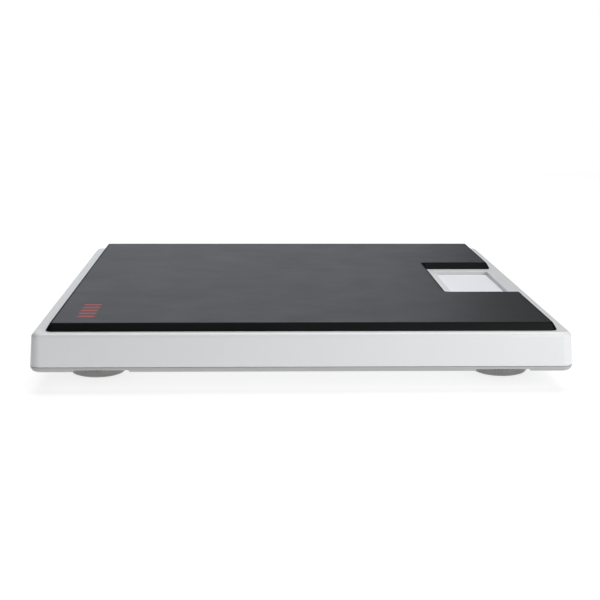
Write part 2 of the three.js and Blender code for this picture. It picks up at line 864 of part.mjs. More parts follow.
function makeContacts() {
  const places = batteryPlaces();
  const faceY = caseInsideY / 2 - fitGap;
  const strips = [
    { name: "plus", end: 1, cells: [0] },
    { name: "bridge_1", end: -1, cells: [0, 1] },
    { name: "bridge_2", end: 1, cells: [1, 2] },
    { name: "bridge_3", end: -1, cells: [2, 3] },
    { name: "minus", end: 1, cells: [3] },
  ];
  for (const { name, end, cells } of strips) {
    const xs = cells.map((i) => places[i].x);
    const innerY = end * (faceY - contact.thickness);
    const strap = box(
      Math.min(...xs) - contact.height / 2,
      Math.max(...xs) + contact.height / 2,
      Math.min(end * faceY, innerY),
      Math.max(end * faceY, innerY),
      batteryZ - contact.height / 2,
      batteryZ + contact.height / 2,
    );
    // A cell whose flat end is here is pushed by a coil that starts inside the strap.
    const coils = cells
      .filter((i) => places[i].buttonEnd !== end)
      .map((i) => {
        const start = end * (faceY - contact.thickness / 2);
        const path = new ContactCoil(places[i].x, start, batteryZ, -end);
        return new THREE.ExtrudeGeometry(circle(contact.wire, WIRE_SIDES), {
          steps: WIRE_STEPS * contact.turns,
          extrudePath: path,
          bevelEnabled: false,
        });
      });
    addPart(`battery_contact_${name}`, shaped([strap, ...coils]), finishes.nickel);
  }
}

function makeDoor() {
  const { x } = batteryCase;
  const leafY = 2 * (doorHalfY - door.flangeWidth - fitGap);
  const flangeZ = groundClearance + track.ledge + fitGap;
  const leaf = block(x, 0, 2 * doorHalfX, leafY, groundClearance + door.recess, doorTopZ);
  const flanges = block(x, 0, 2 * doorHalfX, 2 * doorHalfY, flangeZ, doorTopZ);
  addPart("battery_door", shaped([leaf, flanges]), finishes.housing);
}

// ---------------------------------------------------------------- screws and leads

function makeHousingScrews() {
  screwPlaces.forEach(([x, y], i) => {
    const headTop = screwSeatZ - seatGap;
    const profile = [
      [0, headTop - screw.headHeight],
      [screw.headRadius - screw.headEdge, headTop - screw.headHeight],
      [screw.headRadius, headTop - screw.headHeight + screw.headEdge],
      [screw.headRadius, headTop],
      [screw.radius, headTop],
      [screw.radius, bossBottomZ + screw.bite - screw.tip],
      [0, bossBottomZ + screw.bite],
    ];
    addPart(`housing_screw_${i + 1}`, turned(profile, x, y, HOLE_SEGMENTS), finishes.steel);
  });
}

/** The routes of the four cell leads and the battery lead, each from its source to the board. */
function makeLeads() {
  const cellEndY = footY + cell.tail - cell.length - fitGap;
  const exitZ = (cellTopZ + cellBottomZ) / 2;
  const floorZ = panInsideZ + lead.radius + fitGap;
  const boardZ = boardBottomZ - fitGap;
  const turnZ = boardZ - lead.straightUp;
  for (const end of [-1, 1]) {
    const side = end < 0 ? "front" : "back";
    const right = [
      [footX, end * cellEndY, exitZ],
      [footX, end * (cellEndY - lead.straightOut), exitZ],
      [pitX - 4, end * 84, 23],
      [pitX - 7, end * 72, floorZ + 0.6],
      [pitX - 11, end * 58, floorZ + 0.4],
      [pitX - 14, end * 49, 21.5],
      [pitX - 15, end * 46, turnZ],
      [pitX - 15, end * 46, boardZ],
    ];
    const left = [
      [-footX, end * cellEndY, exitZ],
      [-footX, end * (cellEndY - lead.straightOut), exitZ],
      [-142, end * 84, 22.6],
      [-130, end * 72, floorZ],
      [-100, end * 60, floorZ],
      [-50, end * 50, floorZ],
      [0, end * 45, floorZ],
      [60, end * 43, floorZ],
      [105, end * 39, floorZ + 0.3],
      [pitX - 22, end * 34, 21.5],
      [pitX - 17, end * 31, turnZ],
      [pitX - 17, end * 31, boardZ],
    ];
    addPart(`cell_lead_${side}_right`, tube(right, lead.radius, 16), finishes.lead);
    addPart(`cell_lead_${side}_left`, tube(left, lead.radius, 30), finishes.lead);
  }
  const caseWallX = batteryCase.x + caseInsideX / 2 + batteryCase.wall + fitGap;
  const supply = [
    [caseWallX, -12, 27],
    [caseWallX + lead.straightOut, -12, 26.8],
    [98, -12, 23.2],
    [pitX - 36, -11, 21.4],
    [pitX - 24, -10, 22.4],
    [pitX - 21, -9, turnZ],
    [pitX - 21, -9, boardZ],
  ];
  addPart("battery_lead", tube(supply, lead.radius, 14), finishes.lead);
}

makeMat();
makeCover();
makePan();
makeDisplay();
makeElectronics();
makeLoadPlate();
makeLoadCells();
makeFeet();
makeBatteryCase();
makeBatteries();
makeContacts();
makeDoor();
makeHousingScrews();
makeLeads();

export default scale;
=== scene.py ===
"""The looks of a flat floor scale for small animals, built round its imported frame.

All lengths are in metres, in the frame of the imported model: the origin is on the floor under the middle
of the scale, +X points to the side with the display, the front is -Y, and +Z is up.
"""

import json
import logging
import math
from dataclasses import dataclass, field
from enum import Enum

import bpy
import numpy as np
from mathutils import Matrix, Vector
from mathutils.geometry import tessellate_polygon


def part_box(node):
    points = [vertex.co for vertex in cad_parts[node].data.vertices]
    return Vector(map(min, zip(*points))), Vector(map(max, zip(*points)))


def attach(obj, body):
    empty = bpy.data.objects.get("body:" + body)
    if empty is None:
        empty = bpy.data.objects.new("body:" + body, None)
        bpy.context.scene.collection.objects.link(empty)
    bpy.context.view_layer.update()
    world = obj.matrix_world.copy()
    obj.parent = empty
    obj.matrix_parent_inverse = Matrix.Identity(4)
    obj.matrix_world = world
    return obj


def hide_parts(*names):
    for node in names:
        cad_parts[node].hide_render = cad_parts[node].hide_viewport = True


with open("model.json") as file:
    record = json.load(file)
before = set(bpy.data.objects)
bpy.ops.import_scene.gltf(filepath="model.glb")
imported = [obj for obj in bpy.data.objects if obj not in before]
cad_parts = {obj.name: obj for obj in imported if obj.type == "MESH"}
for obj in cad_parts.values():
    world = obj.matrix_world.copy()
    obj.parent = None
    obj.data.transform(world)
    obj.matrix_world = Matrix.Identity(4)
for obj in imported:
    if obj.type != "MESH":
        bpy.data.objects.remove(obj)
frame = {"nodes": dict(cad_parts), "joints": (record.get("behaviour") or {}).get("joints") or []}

log = logging.getLogger("floor_scale")

MM = 0.001
CORNERS = ("front_left", "front_right", "back_left", "back_right")
POLE_GAP = 0.01 * MM  # points closer than this on a turned piece's axis are joined
MIX_A, MIX_B, MIX_RESULT = 6, 7, 2  # the colour sockets of a Mix node

Plan = tuple[float, float]
Colour = tuple[float, float, float]
Nodes = bpy.types.Nodes
Links = bpy.types.NodeLinks
Socket = bpy.types.NodeSocket


# ---------------------------------------------------------------- outlines and surfaces


def middle(low: Vector, high: Vector) -> Plan:
    """A box's middle in plan."""
    return (low.x + high.x) / 2, (low.y + high.y) / 2


def sides(low: Vector, high: Vector) -> Plan:
    """A box's sides along X and Y."""
    return high.x - low.x, high.y - low.y


def travel_of(joint: str) -> float:
    """How far a slide can go from rest, in metres."""
    return next(j for j in frame["joints"] if j["name"] == joint)["range_m"][1]


class Body(Enum):
    """The rigid bodies that the pieces ride on. A foot's two bodies also carry its corner's name."""

    HOUSING = "housing"
    DOOR = "battery_door"


@dataclass(frozen=True)
class Outline:
    """A closed plan outline with square turns and round corners, which can be inset evenly.

    Attributes:
        vertices: The corner points in order, counterclockwise from above, in metres.
        radii: One radius for each corner.
        steps: How many points each round corner has.
    """

    vertices: tuple[Plan, ...]
    radii: tuple[float, ...]
    steps: int = 12

    @staticmethod
    def rectangle(centre: Plan, size: Plan, radius: float, steps: int = 12) -> "Outline":
        """A rectangle with four equal round corners.

        Args:
            centre: Its middle.
            size: Its sides along X and Y.
            radius: The corner radius.
            steps: Points in each corner.

        Returns:
            The outline.
        """
        (x, y), (half_x, half_y) = centre, (size[0] / 2, size[1] / 2)
        signs = ((-1, -1), (1, -1), (1, 1), (-1, 1))
        vertices = tuple((x + i * half_x, y + j * half_y) for i, j in signs)
        return Outline(vertices, (radius,) * 4, steps)

    def at(self, inset: float) -> np.ndarray:
        """The outline moved inwards by a distance.

        A corner's arc keeps its centre, so its radius shrinks by the inset where the outline turns left
        and grows by it where the outline turns right. Every inset has the same number of points.

        Args:
            inset: The distance, which may be negative to grow the outline.

        Returns:
            An array of shape (points, 2).
        """
        corner = np.array(self.vertices)
        ahead = np.roll(corner, -1, axis=0) - corner
        ahead /= np.linalg.norm(ahead, axis=1, keepdims=True)
        behind = np.roll(ahead, 1, axis=0)
        turn = np.sign(behind[:, 0] * ahead[:, 1] - behind[:, 1] * ahead[:, 0])
        radius = np.array(self.radii)
        centre = corner + radius[:, None] * (ahead - behind)
        start = np.arctan2(-ahead[:, 1], -ahead[:, 0])
        share = np.linspace(0.0, 1.0, self.steps)
        angle = start[:, None] + turn[:, None] * share[None, :] * math.pi / 2
        reach = np.where(turn > 0, np.maximum(radius - inset, 1e-6), radius + inset)
        around = np.stack((np.cos(angle), np.sin(angle)), axis=-1)
        points = centre[:, None, :] + reach[:, None, None] * around
        # Where the radius is used up, the corner point itself follows the inset.
        spent = np.maximum(inset - radius, 0.0) * (turn > 0)
        points += spent[:, None, None] * (ahead - behind)[:, None, :]
        return points.reshape(-1, 2)


def arc(centre: Plan, radius: float, start: float, end: float, steps: int) -> np.ndarray:
    """Points on a circular arc in a profile's (inset or radius, height) plane.

    Args:
        centre: The arc's centre.
        radius: Its radius.
        start: The first angle, in degrees.
        end: The last angle, in degrees.
        steps: How many points.

    Returns:
        An array of shape (steps, 2).
    """
    angle = np.radians(np.linspace(start, end, steps))
    return np.array(centre) + radius * np.stack((np.cos(angle), np.sin(angle)), axis=-1)


class Surface:
    """Collects the points and faces of one piece.

    Attributes:
        part: Which of the piece's finishes the faces added next take.
    """

    def __init__(self) -> None:
        """Starts empty."""
        self.part = 0
        self._points: list[np.ndarray] = []
        self._faces: list[list[int]] = []
        self._parts: list[int] = []
        self._count = 0
        self._uv: list[np.ndarray] = []

    def _add_faces(self, faces: list[list[int]], out: bool) -> None:
        """Adds faces, turned round if they should look the other way."""
        self._faces.extend(faces if out else [face[::-1] for face in faces])
        self._parts.extend([self.part] * len(faces))

    def add_points(self, points: np.ndarray, uv: np.ndarray | None = None) -> np.ndarray:
        """Adds points.

        Args:
            points: An array whose last axis is x, y, z.
            uv: Two pattern coordinates for each point.

        Returns:
            The new points' indices, in the array's own shape.
        """
        flat = points.reshape(-1, 3)
        index = np.arange(self._count, self._count + len(flat)).reshape(points.shape[:-1])
        self._points.append(flat)
        self._uv.append(np.zeros((len(flat), 2)) if uv is None else uv.reshape(-1, 2))
        self._count += len(flat)
        return index

    def weave(self, index: np.ndarray, out: bool = True) -> None:
        """Joins a grid of points with four-sided faces, and its last column to its first.

        Args:
            index: The points' indices, rows by columns.
            out: A face looks to where column x row points, or the other way if this is false.
        """
        right = np.roll(index, -1, axis=1)
        over = np.roll(index, -1, axis=0)
        both = np.roll(right, -1, axis=0)
        quads = np.stack((index, right, both, over), axis=-1)[:-1]
        self._add_faces(quads.reshape(-1, 4).tolist(), out)

    def sweep(self, outline: Outline, profile: np.ndarray, out: bool = True) -> np.ndarray:
        """Carries a profile along an outline: each row is the outline at one inset and height.

        Args:
            outline: The path seen from above.
            profile: (inset, height) pairs.
            out: Whether the faces look out of the outline as the profile rises.

        Returns:
            The indices, one row for each profile point.
        """
        rings = [np.pad(outline.at(inset), ((0, 0), (0, 1)), constant_values=z) for inset, z in profile]
        index = self.add_points(np.stack(rings))
        self.weave(index, out)
        return index

    def cap(self, ring: np.ndarray, up: bool) -> None:
        """Closes a flat ring with one face that looks up or down."""
        self._add_faces([ring.tolist()], up)

    def close(self, rings: np.ndarray) -> None:
        """Caps the first ring of a sweep, which looks down, and the last, which looks up."""
        self.cap(rings[0], up=False)
        self.cap(rings[-1], up=True)

    def plate(self, outer: np.ndarray, holes: list[np.ndarray], up: bool) -> None:
        """Fills a flat ring round some holes.

        Args:
            outer: The outer ring's indices.
            holes: Each hole's ring of indices.
            up: Whether the faces look up.
        """
        points = np.concatenate(self._points)
        loops = [outer, *holes]
        order = np.concatenate(loops)
        for a, b, c in tessellate_polygon([[Vector(points[i]) for i in loop] for loop in loops]):
            face = [int(order[i]) for i in (a, b, c)]
            p, q, r = points[face]
            is_up = (q - p)[0] * (r - p)[1] - (q - p)[1] * (r - p)[0] > 0
            self._add_faces([face], is_up == up)

    def build(
        self, name: str, *finishes: "Finish", sharp_degrees: float = 32.0, weighted: bool = True
    ) -> bpy.types.Object:
        """Makes the Blender object.

        Args:
            name: The piece's name.
            *finishes: Its materials, in the order of the part numbers.
            sharp_degrees: Edges that turn by more than this stay crisp.
            weighted: Whether flat faces keep their own normal where they meet a rounded edge.

        Returns:
            The object, with its place in its mesh.
        """
        mesh = bpy.data.meshes.new(name)
        mesh.from_pydata(np.concatenate(self._points).tolist(), [], self._faces)
        mesh.polygons.foreach_set("use_smooth", np.ones(len(mesh.polygons), bool))
        corner_vertex = np.empty(len(mesh.loops), np.int32)
        mesh.loops.foreach_get("vertex_index", corner_vertex)
        layer = mesh.uv_layers.new(name="surface")
        layer.data.foreach_set("uv", np.concatenate(self._uv)[corner_vertex].astype(np.float32).ravel())
        mesh.set_sharp_from_angle(angle=math.radians(sharp_degrees))
        for finish in finishes:
            mesh.materials.append(finish.material())
        mesh.polygons.foreach_set("material_index", np.array(self._parts, np.int32))
        piece = bpy.data.objects.new(name, mesh)
        bpy.context.scene.collection.objects.link(piece)
        if weighted:
            shade_evenly(piece)
        return piece


def shade_evenly(piece: bpy.types.Object) -> None:
    """Lets flat faces keep their own normal where they meet a rounded edge."""
    shade = piece.modifiers.new("even shading", "WEIGHTED_NORMAL")
    shade.keep_sharp = True


def close_poles(piece: bpy.types.Object) -> None:
    """Joins the points that a turned piece has on its axis into one."""
    weld = piece.modifiers.new("closed poles", "WELD")
    weld.merge_threshold = POLE_GAP


def turned(
    surface: Surface,
    profile: np.ndarray,
    centre: Plan,
    columns: int = 96,
    lobes: np.ndarray | None = None,
    out: bool = True,
) -> np.ndarray:
    """Turns a profile round an upright axis: x = r cos a, y = r sin a, z = height.

    Args:
        surface: Where the points and faces go.
        profile: (radius, height) pairs, from the bottom outwards and up.
        centre: The axis in plan.
        columns: Points round the axis.
        lobes: A ripple added to the radius, rows by columns.
        out: Whether the faces look away from the axis as the profile rises.

    Returns:
        The indices, rows by columns.
    """
    angle = np.linspace(0.0, 2 * math.pi, columns, endpoint=False)
    radius = np.repeat(profile[:, :1], columns, axis=1)
    radius = radius if lobes is None else radius + lobes
    height = np.repeat(profile[:, 1:], columns, axis=1)
    x, y = centre[0] + radius * np.cos(angle), centre[1] + radius * np.sin(angle)
    points = np.stack((x, y, height), axis=-1)
    length = np.concatenate(([0.0], np.cumsum(np.linalg.norm(np.diff(profile, axis=0), axis=1))))
    uv = np.stack(np.broadcast_arrays(angle[None, :] / (2 * math.pi), length[:, None]), axis=-1)
    index = surface.add_points(points, uv)
    surface.weave(index, out)
    return index


# ---------------------------------------------------------------- finishes


@dataclass(frozen=True)
class Finish:
    """A plain material with a mottled colour, an uneven gloss and a fine grain.

    Attributes:
        name: The material's name.
        light: The colour of the lighter patches, linear.
        dark: The colour of the darker patches, linear.
        roughness: The middle roughness.
        unevenness: How far the roughness wanders.
        patch: The size of a patch, in metres.
        grain: The size of the grain, in metres.
        grain_depth: How far the grain stands out, in metres.
        metallic: 1 for bare metal.
        specular: Strength of the reflection at right angles, 0.5 for most plastics.
        coat: Strength of a clear layer.
        coat_roughness: The clear layer's roughness.
        alpha: 1 unless the piece is clear.
    """

    name: str
    light: Colour
    dark: Colour
    roughness: float
    unevenness: float = 0.05
    patch: float = 0.02
    grain: float = 0.0008
    grain_depth: float = 0.00002
    metallic: float = 0.0
    specular: float = 0.5
    coat: float = 0.0
    coat_roughness: float = 0.06
    alpha: float = 1.0

    def material(self) -> bpy.types.Material:
        """The Blender material, made once."""
        made = bpy.data.materials.get(self.name)
        return made if made else self._make()

    def _make(self) -> bpy.types.Material:
        """Builds the node tree.

        Returns:
            The new material.
        """
        material = bpy.data.materials.new(self.name)
        material.use_nodes = True
        nodes, links = material.node_tree.nodes, material.node_tree.links
        shader = nodes["Principled BSDF"]
        shader.inputs["Metallic"].default_value = self.metallic
        shader.inputs["Specular IOR Level"].default_value = self.specular
        shader.inputs["Coat Weight"].default_value = self.coat
        shader.inputs["Coat Roughness"].default_value = self.coat_roughness
        shader.inputs["Alpha"].default_value = self.alpha
        where = self._place(nodes, links)
        patches = self._noise(nodes, links, where, self.patch, detail=4.0)
        colour = nodes.new("ShaderNodeMix")
        colour.data_type = "RGBA"
        colour.inputs[MIX_A].default_value = (*self.dark, 1.0)
        colour.inputs[MIX_B].default_value = (*self.light, 1.0)
        links.new(patches, colour.inputs[0])
        links.new(self._tint(nodes, links, where, colour.outputs[MIX_RESULT]), shader.inputs["Base Color"])
        gloss = nodes.new("ShaderNodeMapRange")
        gloss.inputs["To Min"].default_value = self.roughness - self.unevenness
        gloss.inputs["To Max"].default_value = self.roughness + self.unevenness
        links.new(patches, gloss.inputs["Value"])
        links.new(gloss.outputs["Result"], shader.inputs["Roughness"])
        bump = nodes.new("ShaderNodeBump")
        bump.inputs["Strength"].default_value = 1.0
        bump.inputs["Distance"].default_value = self.grain_depth
        links.new(self._relief(nodes, links, where), bump.inputs["Height"])
        links.new(bump.outputs["Normal"], shader.inputs["Normal"])
        return material

    def _place(self, nodes: Nodes, links: Links) -> Socket:
        """The coordinates that the pattern is laid out in."""
        return nodes.new("ShaderNodeTexCoord").outputs["Object"]

    def _noise(self, nodes: Nodes, links: Links, where: Socket, size: float, detail: float) -> Socket:
        """A noise texture whose features are about one size.

        Args:
            nodes: The tree's nodes.
            links: The tree's links.
            where: The coordinates.
            size: The features' size, in metres.
            detail: How many finer octaves are added.

        Returns:
            The socket of the noise value.
        """
        noise = nodes.new("ShaderNodeTexNoise")
        noise.inputs["Scale"].default_value = 1.0 / size
        noise.inputs["Detail"].default_value = detail
        links.new(where, noise.inputs["Vector"])
        return noise.outputs["Fac"]

    def _relief(self, nodes: Nodes, links: Links, where: Socket) -> Socket:
        """The height that the bump follows: an even fine grain."""
        return self._noise(nodes, links, where, self.grain, detail=2.0)

    def _tint(self, nodes: Nodes, links: Links, where: Socket, colour: Socket) -> Socket:
        """A last change to the colour. A plain finish makes none."""
        return colour


@dataclass(frozen=True)
class TurnedFinish(Finish):
    """Metal from a lathe: fine rings that follow the piece's own profile.

    Attributes:
        ring: The distance between rings, in metres.
        round_scale: How often the pattern changes in one turn.
    """

    ring: float = 0.00035
    round_scale: float = 3.0

    def _relief(self, nodes: Nodes, links: Links, where: Socket) -> Socket:
        """Rings: a noise that is stretched round the axis and fine along the profile."""
        source = nodes.new("ShaderNodeTexCoord").outputs["UV"]
        stretch = nodes.new("ShaderNodeMapping")
        stretch.inputs["Scale"].default_value = (self.round_scale, 1.0 / self.ring, 1.0)
        links.new(source, stretch.inputs["Vector"])
        noise = nodes.new("ShaderNodeTexNoise")
        noise.inputs["Scale"].default_value = 1.0
        noise.inputs["Detail"].default_value = 3.0
        links.new(stretch.outputs["Vector"], noise.inputs["Vector"])
        return noise.outputs["Fac"]


@dataclass(frozen=True)
class PaneFinish(Finish):
    """A clear pane that hides what is behind it as it is seen more from the side; its pale colour, shown
    more at grazing views, is a painted reflection of the bright surround.

    Attributes:
        side_alpha: How much it hides at a grazing view.
        clear_until: The facing value up to which it stays clear, 0 for straight on and 1 for edge on.
        hides_from: The facing value from which it hides the most.
    """

    side_alpha: float = 0.99
    clear_until: float = 0.4
    hides_from: float = 0.72

    def _make(self) -> bpy.types.Material:
        """Adds the change of alpha with the angle of view.

        Returns:
            The new material.
        """
        material = super()._make()
        nodes, links = material.node_tree.nodes, material.node_tree.links
        weight = nodes.new("ShaderNodeLayerWeight")
        weight.inputs["Blend"].default_value = 0.5
        change = nodes.new("ShaderNodeMapRange")
        change.inputs["From Min"].default_value = self.clear_until
        change.inputs["From Max"].default_value = self.hides_from
        change.inputs["To Min"].default_value = self.alpha
        change.inputs["To Max"].default_value = self.side_alpha
        links.new(weight.outputs["Facing"], change.inputs["Value"])
        links.new(change.outputs["Result"], nodes["Principled BSDF"].inputs["Alpha"])
        return material


@dataclass(frozen=True)
class BandedFinish(Finish):
    """A sleeve with a second colour past a line across it.

    Attributes:
        band: The second colour, linear.
        line: Where along Y the second colour starts, in metres.
    """

    band: Colour = (0.5, 0.3, 0.1)
    line: float = 0.016

    def _tint(self, nodes: Nodes, links: Links, where: Socket, colour: Socket) -> Socket:
        """Mixes in the band's colour beyond the line."""
        split = nodes.new("ShaderNodeSeparateXYZ")
        links.new(where, split.inputs["Vector"])
        past = nodes.new("ShaderNodeMath")
        past.operation = "GREATER_THAN"
        past.inputs[1].default_value = self.line
        links.new(split.outputs["Y"], past.inputs[0])
        mix = nodes.new("ShaderNodeMix")
        mix.data_type = "RGBA"
        links.new(past.outputs["Value"], mix.inputs[0])
        links.new(colour, mix.inputs[MIX_A])
        mix.inputs[MIX_B].default_value = (*self.band, 1.0)
        return mix.outputs[MIX_RESULT]


FLOOR = Finish(
    "pale floor", (0.31, 0.31, 0.315), (0.3, 0.3, 0.305),
    roughness=0.7, unevenness=0.02, patch=0.5, grain=0.01, grain_depth=0.00001, specular=0.2,
)
RUBBER = Finish(
    "black rubber", (0.0055, 0.0055, 0.0062), (0.004, 0.004, 0.0045),
    roughness=0.44, patch=0.03, grain=0.0006, grain_depth=0.00003, specular=0.4,
)
# The bevel's rubber is a darker, less glossy copy of the top's rubber: painted shade for the bevel.
SHADED_RUBBER_BEVEL = Finish(
    "black rubber bevel", (0.0045, 0.0045, 0.005), (0.0035, 0.0035, 0.004),
    roughness=0.42, patch=0.03, grain=0.0006, specular=0.18,
)
# The brow's rubber is darker and nearly without reflection: a painted shade line along the top's edge.
SHADED_RUBBER_RIM = Finish(
    "black rubber rim", (0.0045, 0.0045, 0.005), (0.0035, 0.0035, 0.004),
    roughness=0.6, patch=0.03, grain=0.0006, specular=0.06,
)
HOUSING_WHITE = Finish(
    "white housing", (0.715, 0.722, 0.728), (0.695, 0.702, 0.708),
    roughness=0.36, unevenness=0.04, patch=0.03, grain=0.0007, grain_depth=0.000012,
)
# The pan's grey, darker than the cover's white, is painted shade for its downward-facing lower edge.
PAN_PAINTED_SHADE = Finish(
    "pale grey base pan", (0.4, 0.403, 0.407), (0.375, 0.378, 0.382),
    roughness=0.46, patch=0.03, grain=0.0006, grain_depth=0.00003, specular=0.4,
)
# The pane's pale colour, which hides what is behind it at grazing views, is a painted reflection of the
# bright surround.
PANE_PAINTED_REFLECTION = PaneFinish(
    "clear pane", (0.88, 0.885, 0.93), (0.87, 0.875, 0.92),
    roughness=0.38, unevenness=0.02, grain=0.002, grain_depth=0.000002, specular=0.3, alpha=0.35,
)
DISPLAY_GLASS = Finish(
    "display glass", (0.66, 0.67, 0.69), (0.63, 0.64, 0.66),
    roughness=0.3, unevenness=0.03, patch=0.01, grain=0.0006, grain_depth=0.000002,
)
DISPLAY_SEGMENT = Finish(
    "idle segment", (0.6, 0.61, 0.62), (0.57, 0.58, 0.59),
    roughness=0.2, unevenness=0.03, patch=0.01, grain=0.0006, grain_depth=0.000002,
)
GASKET = Finish(
    "gasket rubber", (0.022, 0.022, 0.024), (0.014, 0.014, 0.016),
    roughness=0.7, unevenness=0.08, patch=0.006, grain=0.0004, grain_depth=0.00003,
)
PRINT_RED = Finish(
    "red print", (0.42, 0.035, 0.03), (0.34, 0.025, 0.02),
    roughness=0.5, unevenness=0.08, patch=0.004, grain=0.0004, grain_depth=0.00001,
)
FOOT_METAL = TurnedFinish(
    "turned foot metal", (0.26, 0.26, 0.25), (0.18, 0.18, 0.172),
    roughness=0.22, patch=0.008, metallic=1.0,
)
FOOT_RUBBER = Finish(
    "foot sole rubber", (0.2, 0.2, 0.195), (0.13, 0.13, 0.125),
    roughness=0.75, unevenness=0.08, patch=0.005, grain=0.0005, grain_depth=0.00004,
)
ZINC = Finish(
    "zinc plated steel", (0.62, 0.63, 0.65), (0.42, 0.43, 0.46),
    roughness=0.34, unevenness=0.1, patch=0.006, grain=0.0004, grain_depth=0.00001, metallic=1.0,
)
MILLED = Finish(
    "milled aluminium", (0.78, 0.79, 0.81), (0.66, 0.67, 0.69),
    roughness=0.36, unevenness=0.06, patch=0.004, grain=0.0002, grain_depth=0.00001, metallic=1.0,
)
NICKEL = Finish(
    "nickel plate", (0.72, 0.7, 0.66), (0.6, 0.58, 0.54),
    roughness=0.24, unevenness=0.06, patch=0.003, grain=0.0002, grain_depth=0.000006, metallic=1.0,
)
NATURAL = Finish(
    "natural moulding", (0.66, 0.66, 0.64), (0.58, 0.58, 0.56),
    roughness=0.5, unevenness=0.06, patch=0.015, grain=0.0005,
)
SOLDER_MASK = Finish(
    "green board", (0.02, 0.13, 0.055), (0.012, 0.085, 0.035),
    roughness=0.3, unevenness=0.08, patch=0.004, grain=0.0012, grain_depth=0.00003, coat=0.4,
)
PACKAGE = Finish(
    "chip package", (0.03, 0.03, 0.032), (0.018, 0.018, 0.02),
    roughness=0.5, unevenness=0.06, patch=0.002, grain=0.0002, grain_depth=0.00001,
)
SLEEVE = Finish(
    "lead sleeve", (0.34, 0.34, 0.35), (0.26, 0.26, 0.27),
    roughness=0.5, patch=0.01, grain=0.0006,
)
KNOB = Finish(
    "switch knob", (0.04, 0.04, 0.045), (0.025, 0.025, 0.03),
    roughness=0.45, unevenness=0.06, patch=0.003, grain=0.0003,
)
CELL_WRAP = BandedFinish(
    "battery sleeve", (0.09, 0.16, 0.24), (0.07, 0.13, 0.2),
    roughness=0.3, patch=0.01, grain=0.0006, grain_depth=0.000006, band=(0.42, 0.4, 0.36),
)


def starting(*starts: str) -> list[str]:
    """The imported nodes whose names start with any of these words."""
    return [name for name in frame["nodes"] if name.startswith(starts)]


def dress(nodes: list[str], finish: Finish) -> None:
    """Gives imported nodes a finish.

    Args:
        nodes: The nodes' names.
        finish: The finish they all take.
    """
    for name in nodes:
        slots = frame["nodes"][name].data.materials
        slots.clear()
        slots.append(finish.material())
        log.info("%s dressed in %s", name, finish.name)


def settle(piece: bpy.types.Object, body: str, slot: str | None, *nodes: str) -> None:
    """Puts a piece on its body and hides the nodes it stands for.

    Args:
        piece: The piece.
        body: The body's name.
        slot: The record's material slot, if it has one. Not used.
        *nodes: The nodes that the piece replaces.
    """
    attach(piece, body)
    if nodes:
        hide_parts(*nodes)
    log.info("%s rides on %s", piece.name, body)


# ---------------------------------------------------------------- mat


